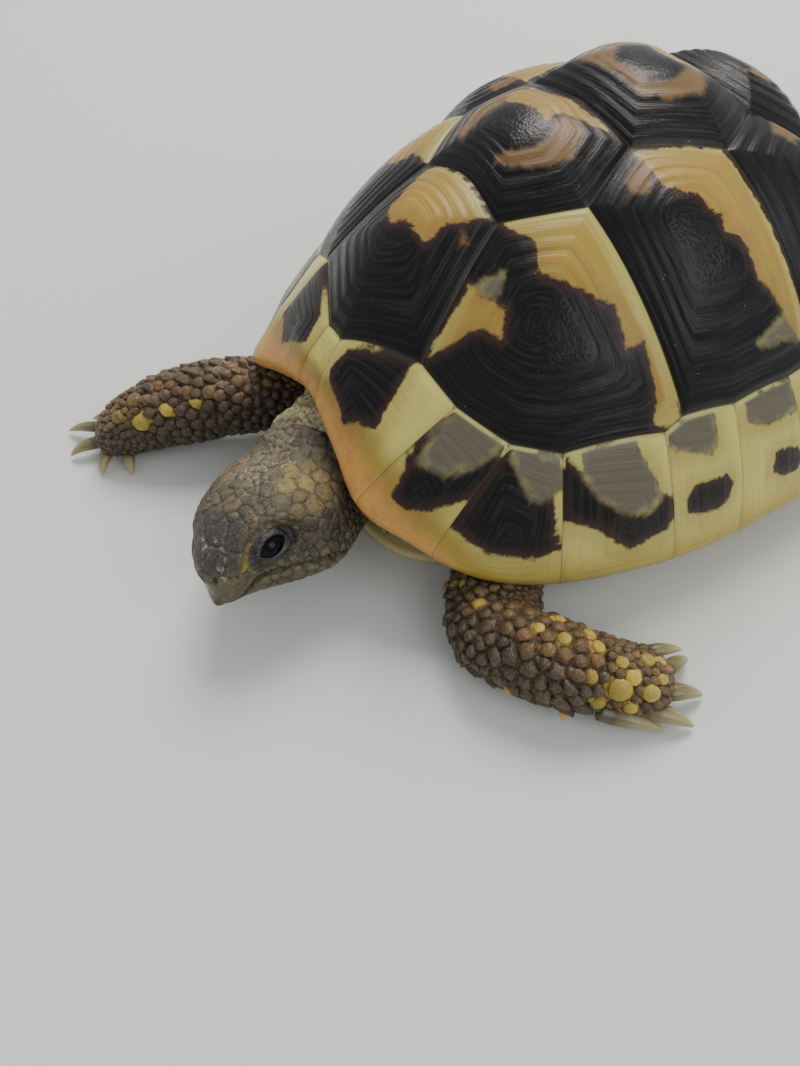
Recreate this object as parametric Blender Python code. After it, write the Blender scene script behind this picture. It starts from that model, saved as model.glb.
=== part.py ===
"""A young Hermann's tortoise at rest, forelegs spread: shell plates, soft parts, eyes and claws.

Frame: the animal faces -Y, its left side is +X, +Z is up, and the ground is Z = 0. The origin lies under the
middle of the plastron. Sizes are in millimetres and become metres at the very end, through MM.
"""
import math

import bmesh
import bpy
from mathutils import Matrix, Vector

MM = 0.001
GAP = 0.3                 # clearance between two solids that touch

# Carapace: a dome drawn over a rounded-rectangle plan
HALF_LENGTH = 50.0        # straight carapace length is twice this
HALF_WIDTH = 41.9
TOP_HEIGHT = 52.0         # dome height at the seams; the scutes rise a little above it
PLAN_POWER = 2.67         # squareness of the plan (2 is an ellipse)
REAR_FLARE = 0.02         # the plan is this much wider behind than in front
RIM_SIDE = 6.9            # rim height above ground at the bridge
RIM_FRONT = 16.5
RIM_BACK = 15.0
NUCHAL_LIFT = 9.1         # extra height of the rim over the neck
NUCHAL_LIFT_SPREAD = 22.0   # degrees
STEEP_SIDE = 1.32         # dome angle reached at the rim, in radians
STEEP_ENDS = 0.71
NOTCH_DEPTH = 1.6         # the rim is drawn in over the neck ...
NOTCH_SPREAD = 8.0
CORNER_FLARE = 2.2        # ... and juts out where the first two marginals meet
CORNER_ANGLE = 19.5
CORNER_SPREAD = 6.0
BRIDGE_FLARE = 0.9        # the rim turns outwards along the bridge
SHOULDER_FLARE = 2.0      # and the marginals over the forelegs more broadly so
SHOULDER_ANGLE = 38.0
SHOULDER_SPREAD = 16.0

# Scutes
PLATE = 1.0               # thickness of a horn plate
SEAM_DROP = 0.3           # the plate edge sinks into the seam
VERTEBRAL_HUMPS = (1.6, 2.0, 2.7, 3.2, 1.8)   # rise of each areola over the seams
COSTAL_HUMPS = (0.7, 1.6, 1.6, 1.4)
MARGINAL_HUMP = 0.5
MARGINAL_SWELL = ((0.12, 0.3), (0.55, 1.0))   # way down the plate, share of its hump
PLATE_SWELL = ((0.93, 0.08), (0.66, 0.55), (0.38, 0.95))   # way out to the seam, share of the hump
SEAM_SHARE = 0.55         # a plate gives up this share of the gap on each side
MARGINAL_SEAM = 0.6       # and a marginal this share
EDGE_STEP = 7.5           # length of a straight piece along a plate's outline
RIM_STEP = 5.0            # and along the marginals

# Underside of the marginals
LIP = 1.5                 # thickness of the rim's edge
LIP_INSET = 0.7           # its lower corner lies this far in
FREE_UNDERSIDE = 5.5      # width of the marginal's underside in front and behind
BRIDGE_UNDERSIDE = 8.0    # and where it runs down to the plastron
BRIDGE_START = 55.0       # the bridge spans these angles, measured from the front
BRIDGE_END = 118.0
BRIDGE_FADE = 7.0         # and the marginals take this many degrees to rise to the free rim

# Trunk
TRUNK_ROWS = (0.70, 0.54, 0.37, 0.2)   # its levels under the dome, as shares of the way to the rim
TRUNK_CLEAR = 0.9         # room between the trunk and the marginals
TRUNK_FOOT = 2.5          # the trunk stands this far inside the plastron's edge
TRUNK_RISE = 0.5
TRUNK_LEDGE = 0.6
OPENING_HOLLOW = 5.0      # the openings for head and limbs are this deep

# Plastron
PLASTRON_THICK = 2.3
BRIDGE_FOOT = PLASTRON_THICK + GAP   # height at which the marginals meet the plastron
BRIDGE_LAP = 0.8          # the plastron reaches this far under them
PLASTRON_FRONT = 46.8
PLASTRON_BACK = 46.5
LOBE_HALF_WIDTH = 26.5
LOBE_POWER = 3.0
NOTCH_FADE = 15.0         # the notch between lobe and bridge takes this many degrees
PLASTRON_CHAMFER = 2.2
PLASTRON_SHOULDER = 1.1   # height of the chamfer
ANGLE_STEP = 7.5          # points round the plastron and the trunk

# Head, in its own frame: x to its left, y forward from the back of the skull, z up
HEAD_PLACE = (4.9, -54.2, 12.0)
HEAD_YAW = 27.0           # turned to its left
HEAD_PITCH = 8.0          # nose lifted
HEAD_ROLL = 15.0          # left side up
EYE_RADIUS = 2.6
EYE_PLACE = (5.5, 12.9, 1.0)
MOUTH_HEIGHT = -3.3
MOUTH_BACK = 7.0
JAW_SLIT = 0.3

ROUND = 16                # points round a limb or the tail
ROOT_CAP = 0.6            # the rounding of a limb's root
FOOT_CAP = 0.35           # and of its end, as a share of its half width
HORN = (0.09, 0.08, 0.07)
YELLOW_HORN = (0.62, 0.45, 0.20)
SKIN = (0.17, 0.13, 0.09)
BELLY = (0.60, 0.52, 0.30)
CLAW = (0.42, 0.39, 0.22)
EYE = (0.01, 0.01, 0.01)


# ---------------------------------------------------------------- scene and helpers

def clear_scene():
    """Remove whatever the file holds."""
    for obj in list(bpy.data.objects):
        bpy.data.objects.remove(obj, do_unlink=True)


def new_collection(name):
    """Make a collection under the scene."""
    coll = bpy.data.collections.new(name)
    bpy.context.scene.collection.children.link(coll)
    return coll


def material(name, colour, roughness):
    """A plain Principled material."""
    mat = bpy.data.materials.new(name)
    mat.use_nodes = True
    shader = mat.node_tree.nodes["Principled BSDF"]
    shader.inputs["Base Color"].default_value = (*colour, 1.0)
    shader.inputs["Roughness"].default_value = roughness
    shader.inputs["Metallic"].default_value = 0.0
    mat.diffuse_color = (*colour, 1.0)
    return mat


def loft(rings, start, end):
    """Closed mesh through equal-sized rings of points, fanned to a point at each end."""
    bm = bmesh.new()
    rows = [[bm.verts.new(p) for p in ring] for ring in rings]
    count = len(rows[0])
    for low, high in zip(rows, rows[1:]):
        for i in range(count):
            j = (i + 1) % count
            bm.faces.new((low[i], low[j], high[j], high[i]))
    for row, point in ((rows[0], start), (rows[-1], end)):
        pole = bm.verts.new(point)
        for i in range(count):
            bm.faces.new((row[i], row[(i + 1) % count], pole))
    bmesh.ops.recalc_face_normals(bm, faces=bm.faces)
    return bm


def middle(points):
    """Average of some points."""
    return sum(points, Vector()) / len(points)


def solid(name, bm, mat, coll):
    """Turn a bmesh in millimetres into a named object in metres."""
    bmesh.ops.triangulate(bm, faces=bm.faces)
    bmesh.ops.scale(bm, vec=(MM, MM, MM), verts=bm.verts)
    mesh = bpy.data.meshes.new(name)
    bm.to_mesh(mesh)
    bm.free()
    mesh.materials.append(mat)
    mesh.shade_smooth()
    mesh.set_sharp_from_angle(angle=math.radians(35))
    obj = bpy.data.objects.new(name, mesh)
    coll.objects.link(obj)
    return obj


def cutter(name, bm):
    """A tool solid that the model itself does not show."""
    obj = solid(name, bm, materials["skin"], cutters)
    obj.hide_render = True
    obj.display_type = "WIRE"
    return obj


def combine(obj, tool, operation):
    """Add an exact Boolean modifier to obj."""
    mod = obj.modifiers.new(tool.name, "BOOLEAN")
    mod.operation = operation
    mod.object = tool
    mod.solver = "EXACT"


# ---------------------------------------------------------------- the dome

def bell(angle, centre, spread):
    """Smooth bump of height 1 around an angle in degrees."""
    return math.exp(-((angle - centre) / spread) ** 2)


def dome(u, v):
    """Point of the carapace; (u, v) lies in the unit disk, v = -1 at the head end, u = 1 at the left."""
    t = math.hypot(u, v)
    s, c = (u / t, v / t) if t > 1e-9 else (0.0, 1.0)
    from_front = math.degrees(math.acos(max(-1.0, min(1.0, -c))))
    width = HALF_WIDTH * (1 + REAR_FLARE * c)
    reach = (abs(c / HALF_LENGTH) ** PLAN_POWER + abs(s / width) ** PLAN_POWER) ** (-1 / PLAN_POWER)
    full = STEEP_SIDE * s * s + STEEP_ENDS * c * c
    rim = RIM_SIDE * s * s + (RIM_FRONT if c < 0 else RIM_BACK) * c * c
    rim += NUCHAL_LIFT * bell(from_front, 0.0, NUCHAL_LIFT_SPREAD)
    reach *= math.sin(t * full) / math.sin(full)
    height = rim + (TOP_HEIGHT - rim) * (math.cos(t * full) - math.cos(full)) / (1 - math.cos(full))
    waves = CORNER_FLARE * bell(from_front, CORNER_ANGLE, CORNER_SPREAD)
    waves -= NOTCH_DEPTH * bell(from_front, 0.0, NOTCH_SPREAD)
    waves += BRIDGE_FLARE * s * s
    reach += waves * t ** 8 + SHOULDER_FLARE * bell(from_front, SHOULDER_ANGLE, SHOULDER_SPREAD) * t ** 5
    return Vector((reach * s, reach * c, height))


def dome_out(u, v):
    """Outward unit normal of the dome."""
    step = 0.004
    along_u = dome(u + step, v) - dome(u - step, v)
    along_v = dome(u, v + step) - dome(u, v - step)
    return along_u.cross(along_v).normalized()


def lifted(u, v, height):
    """Point at a height over the dome; a negative height lies under it."""
    return dome(u, v) + dome_out(u, v) * height


def disk(angle, t):
    """Disk coordinates of an angle from the front, in degrees, and a share t of the way to the rim."""
    a = math.radians(angle)
    return Vector((t * math.sin(a), -t * math.cos(a)))


# ---------------------------------------------------------------- scute layout, left side

NUCHAL_TOP = disk(2.4, 0.84)
SEAM_V1_C1_M1 = disk(20.4, 0.725)
SEAM_V1_V2_C1 = disk(21.5, 0.422)
SEAM_V2_C1_C2 = disk(48.8, 0.330)
SEAM_V2_V3_C2 = disk(70.6, 0.197)
SEAM_V3_C2_C3 = disk(117.7, 0.301)
SEAM_V3_V4_C3 = disk(149.3, 0.339)
SEAM_V4_C3_C4 = disk(148.5, 0.520)
SEAM_V4_V5_C4 = disk(163.5, 0.620)
SEAM_V5_C4_M11 = disk(157.5, 0.790)
SEAM_M11_S = disk(170.0, 0.800)
SEAM_C1_C2_M5 = disk(72.8, 0.726)
SEAM_C2_C3_M7 = disk(106.0, 0.740)
SEAM_C3_C4_M9 = disk(135.0, 0.765)
RING = {
    "1-2": disk(29.2, 0.749),
    "2-3": disk(40.0, 0.771),
    "3-4": disk(49.0, 0.774),
    "4-5": disk(68.6, 0.749),
    "5-6": disk(85.0, 0.735),
    "6-7": disk(99.5, 0.738),
    "7-8": disk(115.0, 0.745),
    "8-9": disk(129.0, 0.760),
    "9-10": disk(141.5, 0.775),
    "10-11": disk(151.5, 0.785),
}
RIM_ANGLES = [3.2, 19.0, 31.4, 50.7, 70.9, 85.8, 101.5, 117.0, 132.5, 146.0, 157.5, 169.5]


def marginal_tops():
    """Upper edge of each left marginal, as runs of seam corners, from the nuchal to the supracaudal."""
    r = RING
    return [
        [NUCHAL_TOP, SEAM_V1_C1_M1, r["1-2"]],
        [r["1-2"], r["2-3"]],
        [r["2-3"], r["3-4"]],
        [r["3-4"], r["4-5"]],
        [r["4-5"], SEAM_C1_C2_M5, r["5-6"]],
        [r["5-6"], r["6-7"]],
        [r["6-7"], SEAM_C2_C3_M7, r["7-8"]],
        [r["7-8"], r["8-9"]],
        [r["8-9"], SEAM_C3_C4_M9, r["9-10"]],
        [r["9-10"], r["10-11"]],
        [r["10-11"], SEAM_V5_C4_M11, SEAM_M11_S],
    ]


def costal_outlines():
    """Seam corners of each left costal, in order round it."""
    r = RING
    return [
        [SEAM_V1_C1_M1, r["1-2"], r["2-3"], r["3-4"], r["4-5"],
         SEAM_C1_C2_M5, SEAM_V2_C1_C2, SEAM_V1_V2_C1],
        [SEAM_C1_C2_M5, r["5-6"], r["6-7"], SEAM_C2_C3_M7, SEAM_V3_C2_C3, SEAM_V2_V3_C2, SEAM_V2_C1_C2],
        [SEAM_C2_C3_M7, r["7-8"], r["8-9"], SEAM_C3_C4_M9, SEAM_V4_C3_C4, SEAM_V3_V4_C3, SEAM_V3_C2_C3],
        [SEAM_C3_C4_M9, r["9-10"], r["10-11"], SEAM_V5_C4_M11, SEAM_V4_V5_C4, SEAM_V4_C3_C4],
    ]


def vertebral_outlines():
    """Left-hand seam corners of each vertebral, front to back; the right-hand ones mirror them."""
    return [
        [NUCHAL_TOP, SEAM_V1_C1_M1, SEAM_V1_V2_C1],
        [SEAM_V1_V2_C1, SEAM_V2_C1_C2, SEAM_V2_V3_C2],
        [SEAM_V2_V3_C2, SEAM_V3_C2_C3, SEAM_V3_V4_C3],
        [SEAM_V3_V4_C3, SEAM_V4_C3_C4, SEAM_V4_V5_C4],
        [SEAM_V4_V5_C4, SEAM_V5_C4_M11, SEAM_M11_S],
    ]


def mirrored(points):
    """The same disk points on the other side, in reverse order."""
    return [Vector((-p.x, p.y)) for p in reversed(points)]


def split_edges(corners, step, closed):
    """Add points along straight edges so that no piece on the shell is longer than step."""
    pairs = list(zip(corners, corners[1:] + corners[:1])) if closed else list(zip(corners, corners[1:]))
    out = []
    for a, b in pairs:
        pieces = max(1, round((dome(*a) - dome(*b)).length / step))
        out += [a.lerp(b, i / pieces) for i in range(pieces)]
    return out if closed else out + [corners[-1]]


def drawn_in(outline, centre):
    """Move an outline towards its centre by half a gap, measured square to its edges on the shell."""
    count = len(outline)
    hub = dome(*centre)
    out = []
    for i, p in enumerate(outline):
        here = dome(*p)
        shares = []
        for other in (outline[i - 1], outline[(i + 1) % count]):
            edge = (dome(*other) - here).normalized()
            way = hub - here
            shares.append(SEAM_SHARE * GAP / (way - edge * way.dot(edge)).length)
        out.append(p.lerp(centre, max(shares)))
    return out


def plate(name, corners, centre, hump, mat):
    """A horn plate over the dome: an inner skin, an edge, and an outer face that rises to its areola."""
    outline = drawn_in(split_edges(corners, EDGE_STEP, True), centre)

    def ring(share, height):
        return [lifted(*centre.lerp(p, share), height) for p in outline]

    rings = [ring(0.5, -PLATE), ring(1.0, -PLATE), ring(1.0, -SEAM_DROP)]
    rings += [ring(share, rise * hump) for share, rise in PLATE_SWELL]
    bm = loft(rings, lifted(*centre, -PLATE), lifted(*centre, hump))
    return solid(name, bm, mat, parts)


# ---------------------------------------------------------------- marginals

def rim_out(angle):
    """Level outward normal of the rim."""
    ahead = dome(*disk(angle + 0.5, 1)) - dome(*disk(angle - 0.5, 1))
    out = Vector((-ahead.y, ahead.x, 0)).normalized()
    return out if out.dot(dome(*disk(angle, 1))) > 0 else -out


def bridge_share(angle, fade=BRIDGE_FADE):
    """1 along the bridge, 0 along the free rim."""
    a = abs(angle)
    rise = (a - BRIDGE_START) / fade + 0.5
    fall = (BRIDGE_END - a) / fade + 0.5
    share = max(0.0, min(1.0, rise, fall))
    return share * share * (3 - 2 * share)


def inner_edge(angle):
    """Where a marginal's underside ends: under the rim in front and behind, on the plastron at the bridge."""
    share = bridge_share(angle)
    rim = dome(*disk(angle, 1))
    width = FREE_UNDERSIDE + (BRIDGE_UNDERSIDE - FREE_UNDERSIDE) * share
    point = rim - rim_out(angle) * width
    point.z = rim.z + (BRIDGE_FOOT - rim.z) * share
    return point


def marginal_section(top, angle, drop):
    """Closed section of a marginal: outer face down to the rim, the lip, the underside, the inside."""
    rim_spot = disk(angle, 1)
    start = top.lerp(rim_spot, drop)
    rim = dome(*rim_spot)
    lip = rim - rim_out(angle) * LIP_INSET
    lip.z -= LIP
    points = [lifted(*start, -SEAM_DROP)]
    for share, rise in MARGINAL_SWELL:
        points.append(lifted(*start.lerp(rim_spot, share), rise * MARGINAL_HUMP))
    points += [rim, lip, inner_edge(angle), lifted(*start, -PLATE)]
    return points


def marginal(name, tops, first, last, mat):
    """A marginal plate between two rim angles."""
    top_width = sum((dome(*a) - dome(*b)).length for a, b in zip(tops, tops[1:]))
    rim_width = (dome(*disk(first, 1)) - dome(*disk(last, 1))).length
    run = split_edges(tops, RIM_STEP * min(1.0, top_width / rim_width), False)
    lengths = [0.0]
    for a, b in zip(run, run[1:]):
        lengths.append(lengths[-1] + (dome(*a) - dome(*b)).length)
    shares = [length / lengths[-1] for length in lengths]
    room = MARGINAL_SEAM * GAP
    inset = room / min(lengths[-1], rim_width)
    ends = [run[0].lerp(run[1], room / (dome(*run[0]) - dome(*run[1])).length)]
    ends.append(run[-1].lerp(run[-2], room / (dome(*run[-1]) - dome(*run[-2])).length))
    sections = []
    for top, share in zip([ends[0], *run[1:-1], ends[1]], shares):
        angle = first + (last - first) * (inset + share * (1 - 2 * inset))
        drop = room / (dome(*top) - dome(*disk(angle, 1))).length
        sections.append(marginal_section(top, angle, drop))
    bm = loft(sections, middle(sections[0]), middle(sections[-1]))
    return solid(name, bm, mat, parts)


def build_shell():
    """All the scutes of the carapace."""
    horn, pale = materials["horn"], materials["rim_horn"]
    for i, left in enumerate(vertebral_outlines(), 1):
        corners = left + mirrored(left)
        if (corners[0] - corners[-1]).length < 1e-6:
            corners.pop()
        centre = Vector((0, sum(p.y for p in corners) / len(corners)))
        plate(f"vertebral_{i}", corners, centre, VERTEBRAL_HUMPS[i - 1], horn)
    for i, corners in enumerate(costal_outlines(), 1):
        centre = sum(corners, Vector((0, 0))) / len(corners)
        plate(f"costal_left_{i}", corners, centre, COSTAL_HUMPS[i - 1], horn)
        centre = Vector((-centre.x, centre.y))
        plate(f"costal_right_{i}", mirrored(corners), centre, COSTAL_HUMPS[i - 1], horn)
    for i, tops in enumerate(marginal_tops(), 1):
        first, last = RIM_ANGLES[i - 1], RIM_ANGLES[i]
        marginal(f"marginal_left_{i:02d}", tops, first, last, pale)
        marginal(f"marginal_right_{i:02d}", mirrored(tops), -last, -first, pale)
    marginal("nuchal", [*mirrored([NUCHAL_TOP]), NUCHAL_TOP], -RIM_ANGLES[0], RIM_ANGLES[0], pale)
    behind = [SEAM_M11_S, *mirrored([SEAM_M11_S])]
    marginal("supracaudal", behind, RIM_ANGLES[-1], 360 - RIM_ANGLES[-1], pale)


# ---------------------------------------------------------------- trunk and plastron

def plastron_reach(angle):
    """Distance from the origin to the plastron's edge: two rounded lobes, joined to the bridge between them."""
    a = math.radians(angle)
    end = PLASTRON_FRONT if math.cos(a) > 0 else PLASTRON_BACK
    along = abs(math.cos(a) / end) ** LOBE_POWER
    across = abs(math.sin(a) / LOBE_HALF_WIDTH) ** LOBE_POWER
    lobe = (along + across) ** (-1 / LOBE_POWER)
    bridge = inner_edge(angle).to_2d().length + BRIDGE_LAP
    return lobe + (bridge - lobe) * bridge_share(angle, NOTCH_FADE)


def round_point(angle, reach, height):
    """Point at a distance from the vertical axis, in the direction of an angle from the front."""
    a = math.radians(angle)
    return Vector((reach * math.sin(a), -reach * math.cos(a), height))


def all_round():
    """Angles right round the body."""
    return [-180 + ANGLE_STEP * i for i in range(round(360 / ANGLE_STEP))]


def build_plastron():
    """The belly plate, flat underneath."""

    def ring(inset, height):
        return [round_point(a, plastron_reach(a) - inset, height) for a in all_round()]

    rings = [ring(PLASTRON_CHAMFER, 0.0), ring(0.2 * PLASTRON_CHAMFER, PLASTRON_SHOULDER)]
    rings.append(ring(0.0, PLASTRON_THICK))
    bm = loft(rings, Vector((0, 0, 0)), Vector((0, 0, PLASTRON_THICK)))
    return solid("plastron", bm, materials["belly"], parts)


def build_trunk():
    """The body inside the shell: it backs every plate, and is drawn in at the openings for head and limbs."""
    angles = all_round()
    under = PLATE + 2 * GAP
    low = PLASTRON_THICK + GAP

    def wall(angle, share):
        """Points between the plastron's edge and the marginal's inner edge, hollowed at the openings."""
        foot = round_point(angle, plastron_reach(angle) - TRUNK_FOOT, low)
        edge = inner_edge(angle)
        head = edge - rim_out(angle) * TRUNK_CLEAR
        head.z = max(edge.z, low + TRUNK_LEDGE) + TRUNK_RISE
        hollow = OPENING_HOLLOW * (1 - bridge_share(angle)) * math.sin(math.pi * share)
        return foot.lerp(head, share) - rim_out(angle) * hollow

    rings = [[wall(a, share) for a in angles] for share in (0.0, 0.5, 1.0)]
    rings += [[lifted(*disk(a, t), -under) for a in angles] for t in TRUNK_ROWS]
    bm = loft(rings, Vector((0, 0, low)), lifted(0, 0, -under))
    return solid("trunk", bm, materials["skin"], parts)


# ---------------------------------------------------------------- soft parts

def sweep_rings(stations, count, grow=0.0, floor=None):
    """Oval rings along a path of (place, half width, half height), flattened where they meet the floor."""
    places = [Vector(s[0]) for s in stations]
    rings = []
    for i, (_, wide, high) in enumerate(stations):
        ahead = (places[min(i + 1, len(places) - 1)] - places[max(i - 1, 0)]).normalized()
        side = ahead.cross(Vector((0, 0, 1))).normalized()
        up = side.cross(ahead)
        ring = []
        for k in range(count):
            a = 2 * math.pi * k / count
            p = places[i] + side * math.cos(a) * (wide + grow) + up * math.sin(a) * (high + grow)
            if floor is not None:
                p.z = max(p.z, floor)
            ring.append(p)
        rings.append(ring)
    return rings


def sweep(stations, grow=0.0, floor=None):
    """Closed limb-like solid along stations, with softly rounded ends."""
    rings = sweep_rings(stations, ROUND, grow, floor)
    first, last = middle(rings[0]), middle(rings[-1])
    start = first + (first - Vector(stations[1][0])).normalized() * (ROOT_CAP + grow)
    end = last + (last - Vector(stations[-2][0])).normalized() * (FOOT_CAP * stations[-1][1] + grow)
    return loft(rings, start, end)


FORELEG_LEFT = [
    ((19.0, -26.0, 9.6), 6.2, 5.6),
    ((26.0, -32.2, 7.3), 6.8, 4.3),
    ((32.0, -38.0, 5.7), 7.2, 5.0),
    ((37.4, -41.4, 6.0), 6.6, 5.8),
    ((42.2, -39.8, 6.6), 6.1, 6.4),
    ((47.0, -36.3, 6.2), 6.2, 5.9),
    ((50.6, -31.9, 5.4), 5.9, 5.0),
    ((53.2, -28.7, 4.2), 5.8, 4.2),
    ((54.9, -26.4, 3.2), 4.6, 3.0),
]
FORELEG_RIGHT = [
    ((-14.0, -28.0, 10.8), 6.4, 6.4),
    ((-17.4, -38.0, 10.4), 7.0, 6.2),
    ((-19.6, -48.5, 9.8), 7.0, 6.0),
    ((-23.6, -57.0, 9.6), 6.8, 6.6),
    ((-27.5, -64.3, 8.1), 6.6, 6.6),
    ((-30.2, -70.2, 6.4), 6.0, 5.6),
    ((-32.0, -73.6, 4.8), 5.8, 4.5),
    ((-33.2, -76.2, 3.4), 4.6, 3.2),
]
HINDLEG_LEFT = [
    ((14.0, 25.0, 9.6), 6.6, 5.6),
    ((21.0, 32.6, 8.3), 7.4, 4.5),
    ((27.4, 39.2, 5.3), 7.6, 4.0),
    ((32.0, 42.4, 5.0), 7.0, 4.7),
    ((35.8, 43.6, 4.2), 6.4, 4.4),
    ((38.8, 43.4, 3.2), 5.2, 3.2),
]
HINDLEG_RIGHT = [
    ((-14.0, 25.0, 9.6), 6.6, 5.6),
    ((-21.8, 31.6, 8.3), 7.4, 4.5),
    ((-28.6, 37.0, 5.3), 7.6, 4.0),
    ((-33.4, 39.6, 5.0), 7.0, 4.7),
    ((-37.2, 40.0, 4.2), 6.4, 4.4),
    ((-40.0, 39.2, 3.2), 5.2, 3.2),
]
TAIL = [
    ((0.0, 37.0, 9.5), 5.4, 4.6),
    ((0.0, 43.0, 8.4), 5.0, 4.3),
    ((0.6, 48.0, 6.4), 3.9, 3.4),
    ((1.9, 52.0, 4.2), 2.8, 2.5),
    ((3.6, 55.0, 2.7), 1.7, 1.6),
    ((5.2, 57.0, 2.0), 0.8, 0.8),
]
NECK = [
    ((0.0, -34.0, 15.5), 10.4, 9.4),
    ((0.9, -41.5, 15.0), 10.2, 9.0),
    ((2.4, -48.0, 13.8), 9.4, 8.2),
]

NAPE = (12.2, 9.0, -8.6, 2.1)   # fold of skin behind the skull: half width, top, bottom, squareness
NAPE_BACK = 3.4

# Claws: root, tip, half width and half height at the root
CLAWS = {
    "fore_left": [
        ((50.4, -25.4, 4.4), (51.9, -21.0, 3.2), 0.9, 0.8),
        ((52.9, -24.6, 3.0), (52.8, -20.0, 1.0), 1.0, 0.9),
        ((55.8, -26.0, 2.7), (57.7, -21.8, 0.8), 1.1, 1.0),
        ((57.0, -28.8, 2.6), (60.6, -25.6, 0.8), 1.2, 1.1),
        ((54.2, -33.4, 2.1), (58.6, -29.9, 0.7), 1.3, 1.1),
    ],
    "fore_right": [
        ((-37.4, -74.0, 3.0), (-42.0, -77.2, 1.0), 1.0, 0.9),
        ((-37.2, -77.0, 2.8), (-41.9, -81.9, 0.8), 1.1, 1.0),
        ((-34.0, -78.6, 2.5), (-35.5, -83.4, 0.8), 1.25, 1.1),
        ((-30.4, -77.4, 2.5), (-27.8, -79.9, 0.8), 1.2, 1.1),
        ((-27.8, -74.4, 2.5), (-24.8, -75.2, 0.8), 1.1, 1.1),
    ],
    "hind_left": [
        ((37.6, 48.0, 2.4), (41.6, 50.8, 0.8), 1.3, 1.2),
        ((39.9, 45.3, 2.4), (44.8, 46.6, 0.8), 1.3, 1.2),
        ((40.3, 42.0, 2.4), (45.2, 41.8, 0.8), 1.3, 1.2),
        ((38.9, 38.9, 2.4), (43.0, 37.0, 0.8), 1.2, 1.2),
    ],
    "hind_right": [
        ((-39.2, 44.0, 2.4), (-43.4, 46.2, 0.8), 1.3, 1.2),
        ((-41.1, 41.0, 2.4), (-46.1, 41.5, 0.8), 1.3, 1.2),
        ((-41.2, 37.7, 2.4), (-46.1, 36.7, 0.8), 1.3, 1.2),
        ((-39.2, 34.8, 2.4), (-43.1, 32.2, 0.8), 1.2, 1.2),
    ],
}
CLAW_ROUND = 8
CLAW_TAPER = ((-0.18, 0.95), (0.25, 0.92), (0.65, 0.62), (0.92, 0.28))   # way to the tip, size
CLAW_ARCH = 0.45          # height of the arch, in half heights


def claw_mesh(root, tip, wide, high, grow=0.0):
    """A claw that tapers and arches from its root to its tip."""
    root, tip = Vector(root), Vector(tip)
    ahead = (tip - root).normalized()
    side = ahead.cross(Vector((0, 0, 1))).normalized()
    up = side.cross(ahead)
    rings = []
    for share, size in CLAW_TAPER:
        arch = CLAW_ARCH * math.sin(math.pi * max(0.0, share))
        hub = root.lerp(tip, share) + up * arch * high
        ring = []
        for k in range(CLAW_ROUND):
            a = 2 * math.pi * k / CLAW_ROUND
            p = hub + side * math.cos(a) * (wide * size + grow) + up * math.sin(a) * (high * size + grow)
            p.z = max(p.z, 0.0 if grow == 0 else -1.0)
            ring.append(p)
        rings.append(ring)
    return loft(rings, middle(rings[0]), tip)


def build_limbs(trunk):
    """Legs, tail and claws; the trunk makes room for each of them."""
    limbs = {
        "foreleg_left": FORELEG_LEFT,
        "foreleg_right": FORELEG_RIGHT,
        "hindleg_left": HINDLEG_LEFT,
        "hindleg_right": HINDLEG_RIGHT,
        "tail": TAIL,
    }
    for name, stations in limbs.items():
        limb = solid(name, sweep(stations, floor=0.0), materials["skin"], parts)
        combine(trunk, cutter(f"room_{name}", sweep(stations, grow=GAP)), "DIFFERENCE")
        limbs[name] = limb
    for side in ("left", "right"):
        for i, claw in enumerate(CLAWS[f"fore_{side}"], 1):
            solid(f"claw_{side}_{i}", claw_mesh(*claw), materials["claw"], parts)
            socket = cutter(f"socket_{side}_{i}", claw_mesh(*claw, grow=GAP))
            combine(limbs[f"foreleg_{side}"], socket, "DIFFERENCE")
        for i, claw in enumerate(CLAWS[f"hind_{side}"], 1):
            hind_claw = cutter(f"hind_claw_{side}_{i}", claw_mesh(*claw))
            combine(limbs[f"hindleg_{side}"], hind_claw, "UNION")


# ---------------------------------------------------------------- head

HEAD_ROUND = 24           # points round the head and the neck

# Stations along the head: forward, half width, top, bottom, squareness of the section
HEAD_STATIONS = [
    (0.0, 10.9, 7.7, -8.4, 2.2),
    (2.8, 11.4, 8.1, -8.6, 2.3),
    (6.0, 11.2, 8.2, -8.2, 2.4),
    (9.0, 10.2, 8.0, -7.4, 2.5),
    (12.0, 8.7, 7.4, -6.7, 2.6),
    (14.8, 7.1, 6.4, -5.9, 2.6),
    (17.2, 5.6, 5.1, -5.4, 2.5),
    (19.0, 4.1, 3.6, -5.0, 2.4),
    (20.1, 2.5, 2.0, -4.8, 2.3),
]
SNOUT = (0.0, -20.7, -1.5)
JAW_ROOM = (30.0, 30.0, 20.0)   # a block wider, longer and deeper than the jaw


def head_frame():
    """Matrix from the head's own frame, which faces -Y, to the model's."""
    yaw = Matrix.Rotation(math.radians(HEAD_YAW), 4, "Z")
    pitch = Matrix.Rotation(math.radians(-HEAD_PITCH), 4, "X")
    roll = Matrix.Rotation(math.radians(-HEAD_ROLL), 4, "Y")
    return Matrix.Translation(HEAD_PLACE) @ yaw @ pitch @ roll


def head_ring(forward, wide, top, bottom, power, grow=0.0):
    """Section of the head in its own frame."""
    centre = 0.5 * (top + bottom)
    half = 0.5 * (top - bottom) + grow
    ring = []
    for k in range(HEAD_ROUND):
        a = 2 * math.pi * k / HEAD_ROUND
        c, s = math.cos(a), math.sin(a)
        x = -(wide + grow) * math.copysign(abs(c) ** (2 / power), c)
        z = centre + half * math.copysign(abs(s) ** (2 / power), s)
        ring.append(Vector((x, -forward, z)))
    return ring


def turned(bm, frame):
    """Move a bmesh by a matrix."""
    bmesh.ops.transform(bm, matrix=frame, verts=bm.verts)
    return bm


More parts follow.
